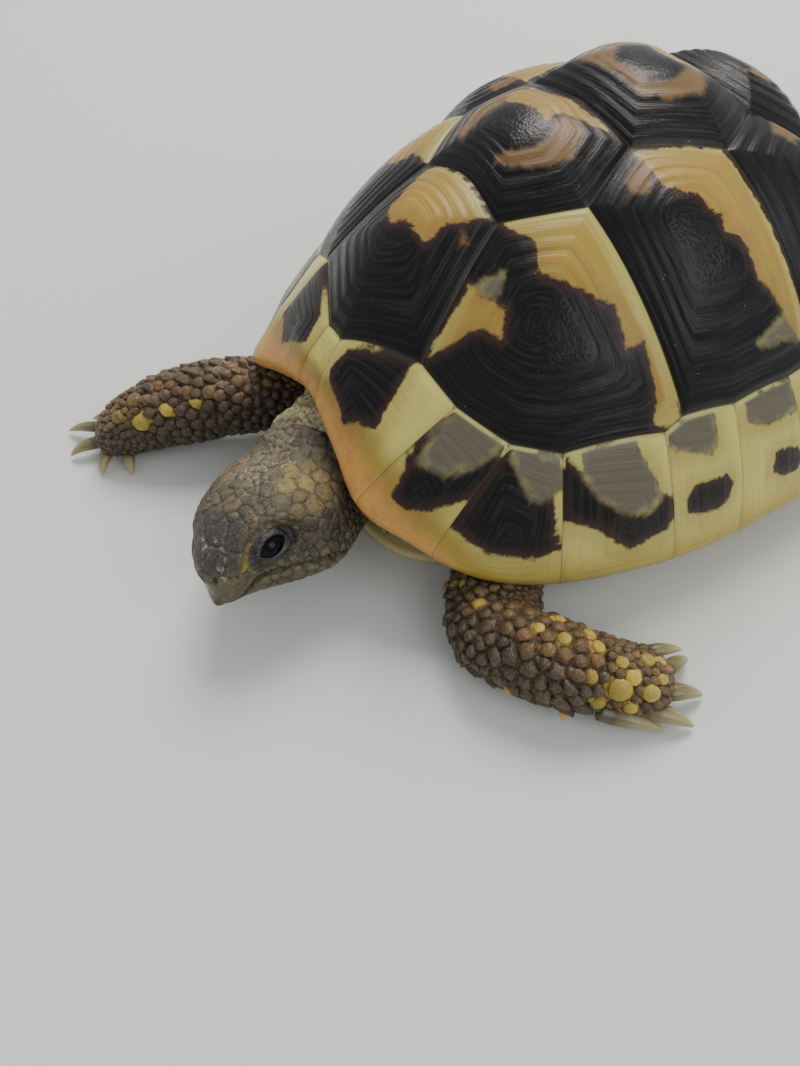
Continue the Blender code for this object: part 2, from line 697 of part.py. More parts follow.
def build_head(trunk):
    """Head, lower jaw, eyes and neck."""
    frame = head_frame()
    rings = [head_ring(*station) for station in HEAD_STATIONS]
    whole = [loft(rings, middle(rings[0]), Vector(SNOUT)) for _ in range(2)]
    head = solid("head", turned(whole[0], frame), materials["skin"], parts)
    jaw = solid("lower_jaw", turned(whole[1], frame), materials["skin"], parts)

    def jaw_room(back, top):
        bm = bmesh.new()
        bmesh.ops.create_cube(bm, size=1.0)
        bmesh.ops.scale(bm, vec=JAW_ROOM, verts=bm.verts)
        middle_of_room = (0, -back - JAW_ROOM[1] / 2, top - JAW_ROOM[2] / 2)
        bmesh.ops.translate(bm, vec=middle_of_room, verts=bm.verts)
        return turned(bm, frame)

    combine(head, cutter("mouth_cut", jaw_room(MOUTH_BACK, MOUTH_HEIGHT)), "DIFFERENCE")
    jaw_block = cutter("jaw_block", jaw_room(MOUTH_BACK + JAW_SLIT, MOUTH_HEIGHT - JAW_SLIT))
    combine(jaw, jaw_block, "INTERSECT")

    for side, sign in (("left", 1), ("right", -1)):
        place = Vector((sign * EYE_PLACE[0], -EYE_PLACE[1], EYE_PLACE[2]))
        for grow in (0.0, GAP):
            bm = bmesh.new()
            bmesh.ops.create_uvsphere(bm, u_segments=14, v_segments=8, radius=EYE_RADIUS + grow)
            bmesh.ops.translate(bm, vec=place, verts=bm.verts)
            turned(bm, frame)
            if grow:
                combine(head, cutter(f"eye_socket_{side}", bm), "DIFFERENCE")
            else:
                solid(f"eye_{side}", bm, materials["eye"], parts)

    build_neck(trunk, frame)


def build_neck(trunk, frame):
    """The neck runs out of the shell and ends just behind the skull, in a matching section."""
    for grow in (0.0, GAP):
        rings = sweep_rings(NECK, HEAD_ROUND, grow)
        rings.append([frame @ p for p in head_ring(-NAPE_BACK, *NAPE, grow)])
        rings.append([frame @ p for p in head_ring(-GAP, *HEAD_STATIONS[0][1:], grow)])
        bm = loft(rings, middle(rings[0]), middle(rings[-1]))
        if grow:
            combine(trunk, cutter("room_neck", bm), "DIFFERENCE")
        else:
            solid("neck", bm, materials["skin"], parts)


clear_scene()
parts = new_collection("tortoise")
cutters = new_collection("cutters")
materials = {
    "horn": material("horn", HORN, 0.35),
    "rim_horn": material("rim_horn", YELLOW_HORN, 0.35),
    "skin": material("skin", SKIN, 0.65),
    "belly": material("belly", BELLY, 0.4),
    "claw": material("claw", CLAW, 0.35),
    "eye": material("eye", EYE, 0.08),
}
build_shell()
build_plastron()
trunk_solid = build_trunk()
build_limbs(trunk_solid)
build_head(trunk_solid)
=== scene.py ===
# %% [markdown]
# # A young Hermann's tortoise, life size
#
# This lesson dresses a plain solid model of a tortoise: the shell plates get growth rings and their
# black and yellow markings, the body gets one skin with scales, and the eyes, claws and belly plate
# get their own finish. The solid model is loaded first and stays as the frame that everything is
# fitted to. It is in metres; the sizes in this lesson are in millimetres and become metres at the end.

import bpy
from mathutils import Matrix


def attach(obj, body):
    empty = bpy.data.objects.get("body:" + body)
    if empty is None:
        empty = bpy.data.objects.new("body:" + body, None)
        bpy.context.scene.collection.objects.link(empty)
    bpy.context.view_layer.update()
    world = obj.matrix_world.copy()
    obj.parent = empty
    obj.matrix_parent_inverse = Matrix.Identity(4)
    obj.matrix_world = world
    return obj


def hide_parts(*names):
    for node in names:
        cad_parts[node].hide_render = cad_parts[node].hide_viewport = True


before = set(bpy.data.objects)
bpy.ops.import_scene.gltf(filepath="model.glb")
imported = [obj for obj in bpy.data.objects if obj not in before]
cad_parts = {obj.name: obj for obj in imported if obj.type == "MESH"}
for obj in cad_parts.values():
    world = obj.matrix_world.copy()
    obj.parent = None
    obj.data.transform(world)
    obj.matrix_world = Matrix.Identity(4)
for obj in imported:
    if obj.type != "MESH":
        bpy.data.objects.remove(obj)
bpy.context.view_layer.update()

# %% Tools and units
import math

import bmesh
import bpy
import numpy as np
from mathutils import Matrix, Vector, kdtree
from mathutils import noise as perlin

MM = 0.001
model = bpy.data.collections.new("tortoise_looks")
bpy.context.scene.collection.children.link(model)
chance = np.random.default_rng(7)


def smooth(x, low, high):
    """0 below low, 1 above high, and an even curve between them."""
    t = np.clip((np.asarray(x, float) - low) / (high - low), 0, 1)
    return t * t * (3 - 2 * t)


def bell(x, centre, spread):
    """Smooth bump of height 1."""
    return np.exp(-((np.asarray(x, float) - centre) / spread) ** 2)


def within(x, low, high):
    """True between two limits."""
    return (x > low) & (x < high)


def once_round(count):
    """Evenly spaced angles once round, in radians."""
    return np.linspace(0, 2 * np.pi, count, endpoint=False)


print("full detail")

# %% [markdown]
# ## The dome of the shell
#
# A carapace can be drawn as a disk that is lifted into a dome. Every place on it then has two simple
# coordinates, u to the animal's left and v to the rear, with the rim at distance 1 from the middle.
# Plates, seams and markings are all laid out on that disk, and one function turns disk places into
# points in space. That is easier to keep in step than a mesh for each plate drawn on its own.

# %% Dome
HALF_LENGTH, HALF_WIDTH, TOP_HEIGHT = 50.0, 41.9, 52.0
PLAN_POWER, REAR_FLARE = 2.67, 0.02
RIM_SIDE, RIM_FRONT, RIM_BACK = 6.9, 16.5, 15.0
NUCHAL_LIFT, NUCHAL_SPREAD = 9.1, 22.0
STEEP_SIDE, STEEP_ENDS = 1.32, 0.71
NOTCH, NOTCH_SPREAD = 1.6, 8.0
CORNER, CORNER_ANGLE, CORNER_SPREAD = 2.2, 19.5, 6.0
SHOULDER, SHOULDER_ANGLE, SHOULDER_SPREAD = 2.0, 38.0, 16.0
BRIDGE_FLARE = 0.9


def dome(place):
    """Points of the carapace, in mm, for an array of disk places."""
    u, v = place[..., 0], place[..., 1]
    t = np.maximum(np.hypot(u, v), 1e-9)
    s, c = u / t, v / t
    turn = np.degrees(np.arccos(np.clip(-c, -1, 1)))
    width = HALF_WIDTH * (1 + REAR_FLARE * c)
    reach = (np.abs(c / HALF_LENGTH) ** PLAN_POWER + np.abs(s / width) ** PLAN_POWER) ** (-1 / PLAN_POWER)
    full = STEEP_SIDE * s * s + STEEP_ENDS * c * c
    rim = RIM_SIDE * s * s + np.where(c < 0, RIM_FRONT, RIM_BACK) * c * c
    rim = rim + NUCHAL_LIFT * bell(turn, 0, NUCHAL_SPREAD)
    reach = reach * np.sin(t * full) / np.sin(full)
    height = rim + (TOP_HEIGHT - rim) * (np.cos(t * full) - np.cos(full)) / (1 - np.cos(full))
    waves = CORNER * bell(turn, CORNER_ANGLE, CORNER_SPREAD) - NOTCH * bell(turn, 0, NOTCH_SPREAD)
    waves = waves + BRIDGE_FLARE * s * s
    reach = reach + waves * t ** 8 + SHOULDER * bell(turn, SHOULDER_ANGLE, SHOULDER_SPREAD) * t ** 5
    return np.stack([reach * s, reach * c, height], -1)


def dome_out(place):
    """Outward normals of the carapace."""
    step_u, step_v = np.array([0.004, 0]), np.array([0, 0.004])
    along_u = dome(place + step_u) - dome(place - step_u)
    along_v = dome(place + step_v) - dome(place - step_v)
    out = np.cross(along_u, along_v)
    return out / np.linalg.norm(out, axis=-1, keepdims=True)


def lifted(place, height):
    """Points at a height over the dome."""
    return dome(place) + dome_out(place) * np.asarray(height)[..., None]


def disk(angle, t):
    """Disk place from an angle round the front, in degrees, and the share of the way to the rim."""
    a = np.radians(angle)
    return np.stack([t * np.sin(a), -t * np.cos(a)], -1)


print("top of the dome at", np.round(dome(np.array([0.0, 0.001])), 1), "mm")

# %% [markdown]
# ## Where the plates meet
#
# The horny plates, called scutes, are named by their place: five vertebrals down the back, four
# costals on each side, eleven marginals round each side of the rim, a small nuchal over the neck and a
# supracaudal over the tail. Only the left side is listed; the right side mirrors it.

# %% Scute corners
NUCHAL_TOP = disk(2.4, 0.84)
V1_C1 = disk(20.4, 0.725)
V1_V2 = disk(21.5, 0.422)
V2_C2 = disk(48.8, 0.330)
V2_V3 = disk(70.6, 0.197)
V3_C3 = disk(117.7, 0.301)
V3_V4 = disk(149.3, 0.339)
V4_C4 = disk(148.5, 0.520)
V4_V5 = disk(163.5, 0.620)
V5_M11 = disk(157.5, 0.790)
M11_TAIL = disk(170.0, 0.800)
C1_M5 = disk(72.8, 0.726)
C2_M7 = disk(106.0, 0.740)
C3_M9 = disk(135.0, 0.765)
RING = [disk(a, t) for a, t in (
    (29.2, 0.749), (40.0, 0.771), (49.0, 0.774), (68.6, 0.749), (85.0, 0.735),
    (99.5, 0.738), (115.0, 0.745), (129.0, 0.760), (141.5, 0.775), (151.5, 0.785))]
RIM_ANGLES = [3.2, 19.0, 31.4, 50.7, 70.9, 85.8, 101.5, 117.0, 132.5, 146.0, 157.5, 169.5]
FLIP = np.array([-1.0, 1.0])


def mirrored(places):
    """The same places on the other side, in reverse order."""
    return [p * FLIP for p in reversed(places)]


COSTALS = [
    [V1_C1, RING[0], RING[1], RING[2], RING[3], C1_M5, V2_C2, V1_V2],
    [C1_M5, RING[4], RING[5], C2_M7, V3_C3, V2_V3, V2_C2],
    [C2_M7, RING[6], RING[7], C3_M9, V4_C4, V3_V4, V3_C3],
    [C3_M9, RING[8], RING[9], V5_M11, V4_V5, V4_C4],
]
VERTEBRALS = [
    [NUCHAL_TOP, V1_C1, V1_V2],
    [V1_V2, V2_C2, V2_V3],
    [V2_V3, V3_C3, V3_V4],
    [V3_V4, V4_C4, V4_V5],
    [V4_V5, V5_M11, M11_TAIL],
]
MARGINAL_TOPS = [
    [NUCHAL_TOP, V1_C1, RING[0]], [RING[0], RING[1]], [RING[1], RING[2]], [RING[2], RING[3]],
    [RING[3], C1_M5, RING[4]], [RING[4], RING[5]], [RING[5], C2_M7, RING[6]], [RING[6], RING[7]],
    [RING[7], C3_M9, RING[8]], [RING[8], RING[9]], [RING[9], V5_M11, M11_TAIL],
]
print("left scutes:", len(COSTALS) + len(MARGINAL_TOPS), "middle scutes:", len(VERTEBRALS) + 2)

# %% [markdown]
# ## Small helpers for meshes and materials
#
# A piece is a mesh with named values on its points, such as how far a point lies out on a growth ring.
# The materials read those values, so one material can serve every plate and still know where it is.

# %% Mesh helpers
def store(mesh, values):
    """Put named values on a mesh's points."""
    for key, data in values.items():
        data = np.asarray(data, np.float32)
        kind, field = ("FLOAT", "value") if data.ndim == 1 else ("FLOAT_VECTOR", "vector")
        mesh.attributes.new(key, kind, "POINT").data.foreach_set(field, data.ravel())


def add_piece(name, mesh, material, stands_for=()):
    """Show a mesh as a piece of the model: it rides on the body."""
    mesh.materials.clear()
    mesh.materials.append(material)
    mesh.shade_smooth()
    obj = bpy.data.objects.new(name, mesh)
    model.objects.link(obj)
    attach(obj, "root")
    if stands_for:
        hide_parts(*stands_for)
    return obj


def make_piece(name, points, faces, material, values, stands_for=()):
    """A piece from points in mm, with named values on them."""
    mesh = bpy.data.meshes.new(name)
    mesh.from_pydata((np.asarray(points) * MM).tolist(), [], faces)
    store(mesh, values)
    return add_piece(name, mesh, material, stands_for)


def quad_rows(rows, columns, closed):
    """Quads between the rows of a grid of points."""
    last = columns if closed else columns - 1
    return [(r * columns + c, r * columns + (c + 1) % columns, (r + 1) * columns + (c + 1) % columns,
             (r + 1) * columns + c) for r in range(rows - 1) for c in range(last)]


def flipped(faces):
    """The same faces, seen from their other side."""
    return [tuple(reversed(f)) for f in faces]


def closed_rows(rows, columns):
    """Quads between rings of points, closed by a flat face at each end."""
    return quad_rows(rows, columns, True) + [tuple(reversed(range(columns))),
                                             tuple(range((rows - 1) * columns, rows * columns))]


def pointed_rows(rows, sides, flip=False):
    """Quads between rings of points, closed by a fan to one more point at each end."""
    faces = quad_rows(rows, sides, True)
    faces = flipped(faces) if flip else faces
    start, end, last = rows * sides, rows * sides + 1, (rows - 1) * sides
    for k in range(sides):
        a, b = (k, (k + 1) % sides) if flip else ((k + 1) % sides, k)
        faces += [(start, a, b), (end, last + b, last + a)]
    return faces


def finder_of(spots):
    """A tree that finds the nearest of some spots."""
    finder = kdtree.KDTree(len(spots))
    for i, spot in enumerate(spots):
        finder.insert(spot, i)
    finder.balance()
    return finder


def inside(places, outline):
    """Distance to an outline, in its own unit: above 0 inside it and below 0 outside."""
    outline = np.asarray(outline, float)
    nearest = np.full(places.shape[:-1], 1e9)
    crossings = np.zeros(places.shape[:-1], int)
    for a, b in zip(outline, np.roll(outline, -1, 0)):
        way = b - a
        share = np.clip(((places - a) @ way) / (way @ way), 0, 1)
        nearest = np.minimum(nearest, np.linalg.norm(places - a - share[..., None] * way, axis=-1))
        spans = (a[1] > places[..., 1]) != (b[1] > places[..., 1])
        rise = b[1] - a[1] if b[1] != a[1] else 1e-9
        crossings += spans & (places[..., 0] < a[0] + (places[..., 1] - a[1]) / rise * way[0])
    return np.where(crossings % 2 == 1, nearest, -nearest)


# %% Material helpers
class Result:
    """What a shader node gives. It can be added, taken away and multiplied like a number."""

    def __init__(self, socket):
        self.socket = socket

    def __add__(self, other):
        return maths("ADD", self, other)

    def __sub__(self, other):
        return maths("SUBTRACT", self, other)

    def __mul__(self, other):
        return maths("MULTIPLY", self, other)


def new_material(name):
    """A material and its main shader. The helpers below add their nodes to the newest material."""
    global tree
    mat = bpy.data.materials.new(name)
    mat.use_nodes = True
    tree = mat.node_tree
    return mat, tree.nodes["Principled BSDF"]


def fill(made, inputs):
    """Fill a node's inputs with numbers, colours or the results of other nodes."""
    for key, value in inputs.items():
        socket = made.inputs[key]
        if isinstance(value, Result):
            tree.links.new(value.socket, socket)
        else:
            socket.default_value = (*value, 1.0) if socket.type == "RGBA" else value


def node(kind, output, inputs=None, **settings):
    """One result of a new shader node."""
    made = tree.nodes.new("ShaderNode" + kind)
    for key, value in settings.items():
        setattr(made, key, value)
    fill(made, inputs or {})
    return Result(made.outputs[output])


def read(name, kind="Fac"):
    """A named value of the mesh; with kind Vector, a named vector."""
    return node("Attribute", kind, attribute_name=name, attribute_type="GEOMETRY")


def maths(operation, a, b=0.0):
    """One sum on two numbers."""
    return node("Math", 0, {0: a, 1: b}, operation=operation)


def ramp(value, low, high, start=0.0, end=1.0):
    """Even step of a value between two limits."""
    return node("MapRange", "Result", {"Value": value, "From Min": low, "From Max": high, "To Min": start,
                                       "To Max": end}, interpolation_type="SMOOTHSTEP")


def blend(share, first, second):
    """Colour between two colours."""
    return node("Mix", 2, {0: share, 6: first, 7: second}, data_type="RGBA", clamp_factor=True)


def grain(vector, scale, detail=3.0, rough=0.5):
    """Cloudy noise between 0 and 1."""
    return node("TexNoise", "Fac", {"Vector": vector, "Scale": scale, "Detail": detail, "Roughness": rough})


def stretched(vector, by):
    """A vector scaled by three numbers."""
    return node("VectorMath", 0, {0: vector, 1: by}, operation="MULTIPLY")


def place_mm():
    """The place on the object, in millimetres."""
    return stretched(node("TexCoord", "Object"), (1 / MM, 1 / MM, 1 / MM))


def bump(height, distance_mm, normal=None):
    """Relief from a height between 0 and 1, on top of an earlier relief."""
    inputs = {"Height": height, "Distance": distance_mm * MM, "Strength": 1.0}
    return node("Bump", "Normal", inputs if normal is None else {**inputs, "Normal": normal})


print("helpers ready")

# %% [markdown]
# ## Horn
#
# Horn grows at the seams, so each plate shows fine lines that run round its oldest part, the areola.
# The plate carries values for this: the ring a point lies on, its direction from the areola, how deep it
# lies inside a yellow, a brown or a grey patch, how warm the yellow is and where horn is newly grown. The
# border of a patch is made ragged with noise that is stretched along the direction of growth, because
# colour is laid down ring by ring.

# %% Horn material
BLACK, FRINGE = (0.0045, 0.0042, 0.0050), (0.048, 0.025, 0.018)
FRESH, OLD, ORANGE = (0.56, 0.50, 0.14), (0.345, 0.232, 0.042), (0.54, 0.27, 0.065)
BROWN, LIGHT_BROWN, STAIN = (0.15, 0.082, 0.030), (0.165, 0.102, 0.042), (0.30, 0.155, 0.065)
GREY, DARK_GREY, LINE_GREY = (0.155, 0.137, 0.096), (0.085, 0.072, 0.05), (0.080, 0.066, 0.052)
DUST, NEW_HORN, SEAM = (0.45, 0.43, 0.36), (0.50, 0.47, 0.16), (0.10, 0.08, 0.045)


def horn_material(name, teeth_mm, line_count, contrast):
    """Glossy horn with growth lines; the patches of colour come from values on the mesh."""
    mat, shader = new_material(name)
    here, ring, spoke = place_mm(), read("ring"), read("spoke", "Vector")
    teeth = grain(stretched(spoke, (7.0, 7.0, 1.6)), 1.0, 3.0, 0.6) - 0.5
    crumbs = grain(here, 1.1, 4.0, 0.6) - 0.5
    ragged = teeth * teeth_mm + crumbs * 0.7
    yellow, brown, grey = (read(key) + ragged for key in ("yellow", "brown", "grey"))
    across = node("CombineXYZ", 0, {0: ring * float(line_count)})
    lines_at = node("VectorMath", 0, {0: across, 1: stretched(spoke, (1.1, 1.1, 0.0))}, operation="ADD")
    lines, wide_lines = grain(lines_at, 1.0, 4.0, 0.62), grain(lines_at, 0.33, 2.0)
    clouds = grain(here, 0.35, 3.0)
    warm = read("warm") + (wide_lines - 0.5) * (1.4 * contrast)
    pale = blend(ramp(warm, 0.0, 1.0), FRESH, OLD)
    pale = blend(ramp(warm, 1.05, 1.9), pale, ORANGE)
    pale = blend(ramp(lines, 0.62, 0.40, 0.0, 0.15 * contrast), pale, BROWN)
    pale = blend(ramp(yellow, 2.6, 0.2, 0.0, 0.28), pale, BROWN)
    stains = ramp(grain(here, 0.3, 4.0, 0.65), 0.50, 0.66, 0.0, 0.4) * ramp(warm, 0.3, 1.2)
    pale = blend(stains, pale, STAIN)
    dark = blend(ramp(lines, 0.42, 0.70, 0.0, 0.20), BLACK, LINE_GREY)
    dark = blend(ramp(yellow, -1.4, 0.0, 0.0, 0.75), dark, FRINGE)
    dark = blend(ramp(brown, -0.5, 0.5), dark, blend(lines, BROWN, LIGHT_BROWN))
    cloudy = blend(lines, DARK_GREY, GREY)
    cloudy = blend(ramp(grey + clouds * 3.0, 2.4, 1.0, 0.0, 0.30), cloudy, FRESH)
    dark = blend(ramp(grey, -0.5, 0.6), dark, cloudy)
    colour = blend(ramp(yellow, -0.22, 0.22), dark, pale)
    specks = node("TexVoronoi", "Distance", {"Vector": here, "Scale": 1.15})
    dust = ramp(specks, 0.10, 0.05) * ramp(grain(here, 0.9, 1.0), 0.58, 0.64, 0.0, 0.45)
    colour = blend(dust, colour, DUST)
    new_horn = ramp(ring, 0.94, 0.975, 0.0, 0.9) * read("fresh") * ramp(clouds, 0.36, 0.5)
    colour = blend(new_horn, colour, NEW_HORN)
    colour = blend(ramp(ring, 0.985, 0.999, 0.0, 0.6), colour, SEAM)
    heart = ramp(ring, 0.42, 0.30)
    pits = node("TexVoronoi", "Distance", {"Vector": here, "Scale": 2.2})
    grown = maths("SUBTRACT", 1.0, heart * 0.85)
    relief = bump((lines + wide_lines * 0.8) * grown, 0.12)
    relief = bump(heart * pits, 0.035, relief)
    relief = bump(grain(here, 3.5, 3.0), 0.012, relief)
    fill(shader, {"Base Color": colour, "Normal": relief, "Roughness": ramp(clouds, 0.3, 0.7, 0.24, 0.36),
                  "Specular IOR Level": 0.20})
    return mat


plate_horn = horn_material("plate_horn", 1.5, 30, 0.9)
rim_horn = horn_material("rim_horn", 0.8, 16, 0.35)
print("horn materials:", plate_horn.name, rim_horn.name)

# %% [markdown]
# ## Markings
#
# Hermann's tortoise has yellow fields on a black shell, and each plate's field keeps its place from
# animal to animal: along the upper and rear seams of a costal, at the rear of a vertebral. Each field is
# outlined here by a few disk places. On the marginals the ground is yellow and the dark blotch is
# outlined instead. The right side mirrors the left, as it roughly does on the living animal.

# %% Fields of colour on the big plates
YELLOW = {
    "vertebral_1": [[(-.115, -.40), (.130, -.405), (.105, -.465), (.085, -.49), (.082, -.55), (.0, -.553),
                     (-.03, -.575), (-.075, -.56), (-.09, -.50)]],
    "vertebral_2": [[(-.10, -.118), (.0, -.098), (.115, -.080), (.135, -.088), (.085, -.118), (.052, -.137),
                     (.042, -.160), (.045, -.187), (-.02, -.190), (-.085, -.198), (-.12, -.165)]],
    "vertebral_3": [[(-.12, .235), (-.02, .285), (.035, .285), (.052, .215), (.050, .162), (.0, .158),
                     (-.055, .155), (-.11, .175)]],
    "vertebral_4": [[(-.10, .46), (-.05, .55), (.08, .56), (.11, .49), (.03, .505)]],
    "vertebral_5": [[(-.05, .63), (.06, .63), (.17, .70), (.20, .80), (.10, .775), (.035, .70), (-.04, .70),
                     (-.11, .775), (-.20, .80), (-.16, .69)]],
    "costal_1": [[(.245, -.222), (.45, -.212), (.53, -.20), (.60, -.205), (.70, -.235), (.668, -.297),
                  (.60, -.262), (.525, -.252), (.513, -.297), (.47, -.285), (.435, -.277), (.40, -.305),
                  (.35, -.333), (.305, -.366), (.29, -.372), (.24, -.346), (.20, -.362), (.165, -.385)],
                 [(.215, -.512), (.25, -.497), (.272, -.483), (.305, -.468), (.338, -.50), (.296, -.528),
                  (.283, -.56), (.275, -.60), (.257, -.662), (.238, -.59)]],
    "costal_right_1": [[(.245, -.222), (.45, -.212), (.53, -.20), (.60, -.205), (.70, -.235), (.668, -.297),
                        (.60, -.262), (.525, -.252), (.43, -.275), (.37, -.345), (.32, -.40), (.27, -.40),
                        (.24, -.37), (.20, -.375), (.165, -.385)]],
    "costal_2": [[(.268, .120), (.40, .145), (.55, .17), (.68, .20), (.66, .155), (.615, .120), (.56, .087),
                  (.532, .056), (.48, .056), (.45, .045), (.43, .012), (.40, .022), (.38, .0), (.345, -.010),
                  (.332, -.036), (.30, -.071), (.25, -.066), (.205, -.070)]],
    "costal_3": [[(.205, .475), (.24, .555), (.33, .525), (.47, .535), (.51, .52), (.42, .475), (.36, .46),
                  (.32, .405), (.26, .395), (.20, .345), (.185, .36)]],
    "costal_4": [[(.20, .635), (.28, .715), (.34, .70), (.35, .66), (.29, .60), (.245, .56), (.22, .59)]],
}
BROWN_FIELDS = {
    "vertebral_1": [[(.125, -.47), (.15, -.47), (.14, -.49)]],
    "vertebral_2": [[(.055, -.136), (.112, -.128), (.148, -.19), (.140, -.24), (.095, -.298), (.055, -.335),
                     (.042, -.318), (.082, -.26), (.092, -.21), (.062, -.178)],
                    [(-.16, -.13), (-.10, -.115), (-.085, -.20), (-.09, -.27), (-.075, -.33), (-.12, -.32),
                     (-.16, -.22)]],
    "vertebral_3": [[(.04, .30), (.06, .26), (.10, .19), (.145, .135), (.135, .06), (.10, .01), (.07, .01),
                     (.10, .08), (.085, .14), (.04, .19)],
                    [(-.15, .24), (-.10, .24), (-.055, .15), (-.075, .09), (-.02, .04), (.08, .045),
                     (.09, .02), (-.10, .005), (-.16, .08)]],
    "vertebral_4": [[(-.11, .40), (-.06, .47), (.06, .47), (.11, .40), (.07, .36), (.05, .43),
                     (-.05, .43), (-.07, .36)]],
    "costal_2": [[(.225, -.062), (.27, -.068), (.298, -.105), (.285, -.135), (.25, -.125)]],
    "costal_3": [[(.195, .385), (.235, .375), (.285, .31), (.245, .275), (.215, .30)]],
}
GREY_FIELDS = {
    "costal_1": [[(.248, -.43), (.276, -.462), (.262, -.492), (.222, -.502)]],
    "costal_2": [[(.60, .12), (.66, .16), (.655, .04), (.64, .02)]],
}

# %% Blotches on the rim plates
BLOTCHES = {
    1: [[(.088, -.832), (.16, -.768), (.232, -.702), (.250, -.77), (.262, -.832), (.215, -.877), (.19, -.912),
         (.14, -.902), (.10, -.907), (.078, -.895)]],
    2: [[(.372, -.80), (.386, -.862), (.42, -.848), (.46, -.80), (.50, -.72), (.512, -.68), (.507, -.60),
         (.49, -.61), (.470, -.68), (.44, -.735), (.385, -.775)],
        [(.368, -.66), (.374, -.66), (.373, -.80), (.361, -.80)]],
    3: [[(.502, -.600), (.60, -.608), (.63, -.57), (.69, -.605), (.708, -.612), (.69, -.655), (.60, -.738),
         (.522, -.772), (.514, -.68)]],
    4: [[(.592, -.512), (.645, -.492), (.70, -.477), (.76, -.44), (.79, -.40), (.812, -.36), (.80, -.325),
         (.83, -.305), (.862, -.34), (.85, -.40), (.838, -.45), (.79, -.482), (.74, -.512), (.682, -.560)]],
    5: [[(.855, -.13), (.87, -.118), (.895, -.128), (.905, -.16), (.89, -.22), (.87, -.262), (.845, -.262),
         (.832, -.235), (.845, -.18)]],
    6: [[(.865, .055), (.895, .045), (.915, .08), (.912, .14), (.885, .155), (.868, .11)]],
    7: [[(.80, .235), (.87, .20), (.90, .25), (.88, .33), (.84, .35), (.80, .30)]],
}
RIM_GREYS = {
    2: [[(.378, -.655), (.48, -.605), (.475, -.67), (.44, -.73), (.385, -.772), (.372, -.72)]],
    3: [[(.51, -.587), (.583, -.517), (.625, -.548), (.62, -.572), (.60, -.600), (.52, -.597)]],
    4: [[(.648, -.365), (.79, -.335), (.80, -.375), (.76, -.43), (.70, -.47), (.645, -.482), (.612, -.465)]],
    5: [[(.702, -.268), (.702, -.20), (.722, -.142), (.775, -.145), (.788, -.165), (.762, -.21),
         (.738, -.258)]],
    6: [[(.738, -.03), (.775, -.035), (.795, .03), (.79, .15), (.735, .15)]],
    7: [[(.73, .20), (.78, .18), (.775, .29), (.71, .30)]],
}
# Rear rim plates: one dark wedge at the front of each, in shares of the plate's width and height.
REAR_WEDGE = np.array([(-.2, -.2), (.50, -.2), (.60, .25), (.46, .74), (.16, .60), (-.2, .35)])
FIRST_REAR = 8
FAR_OUT = -9.0
print("plates with yellow fields:", len(YELLOW), "rim plates with blotches:", len(BLOTCHES))

# %% [markdown]
# ## Vertebral and costal plates
#
# Each plate is a disk of rings round its areola. The outermost ring is the seam, and the rings grow
# rounder towards the areola, as they do on a real plate. The plate rises towards the areola and dips
# into the seam. A skirt under the seam closes the plate to its neighbours.

# %% Plate shape
SEAM_DROP, SEAM_WIDTH, SEAM_POWER = 0.34, 0.55, 1.6
PLATE_DEPTH, FIELD_END = 1.0, 0.955
HUMP_POWERS = (2.6, 1.4)
INNER_ROUNDING, INNER_SIZE = 22, 0.97
WAVE_HEIGHT, WAVE_COUNT = 0.05, 47
RINGS_OUT, POINT_EVERY = ((72, 0.5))
HUMPS = {"vertebral": (1.6, 2.0, 2.7, 3.2, 1.8), "costal": (0.7, 1.6, 1.6, 1.4)}
HEARTS = {"vertebral_1": (0, -.57), "vertebral_2": (0, -.245), "vertebral_3": (0, .10),
          "vertebral_4": (0, .41), "vertebral_5": (0, .70),
          "costal_1": (.375, -.43), "costal_right_1": (.375, -.43),
          "costal_2": (.40, -.06), "costal_3": (.38, .40), "costal_4": (.33, .655)}
MM_PER_DISK = 52.0


def seam_groove(distance, width=SEAM_WIDTH):
    """Depth of the groove at a seam."""
    return SEAM_DROP * np.exp(-(distance / width) ** SEAM_POWER)


def walk_round(corners, every):
    """Places along an outline, evenly along each edge, with the corners kept."""
    out = []
    for a, b in zip(corners, corners[1:] + corners[:1]):
        pieces = max(2, round(np.linalg.norm(dome(a) - dome(b)) / every))
        out += [a + (b - a) * i / pieces for i in range(pieces)]
    return np.array(out)


def rounded(outline, spread):
    """The outline with its corners evened out over neighbouring points."""
    reach = int(3 * spread)
    weights = np.exp(-(np.arange(-reach, reach + 1) / spread) ** 2)
    wrapped = np.concatenate([outline[-reach:], outline, outline[:reach]])
    return np.stack([np.convolve(wrapped[:, k], weights / weights.sum(), "valid") for k in (0, 1)], -1)


def field(fields, name, places, flip):
    """How deep places lie in the fields of a plate, in mm."""
    places = places * FLIP if flip else places
    depth = np.full(places.shape[:-1], FAR_OUT)
    for outline in fields.get(name, []):
        depth = np.maximum(depth, inside(places, outline) * MM_PER_DISK)
    return depth


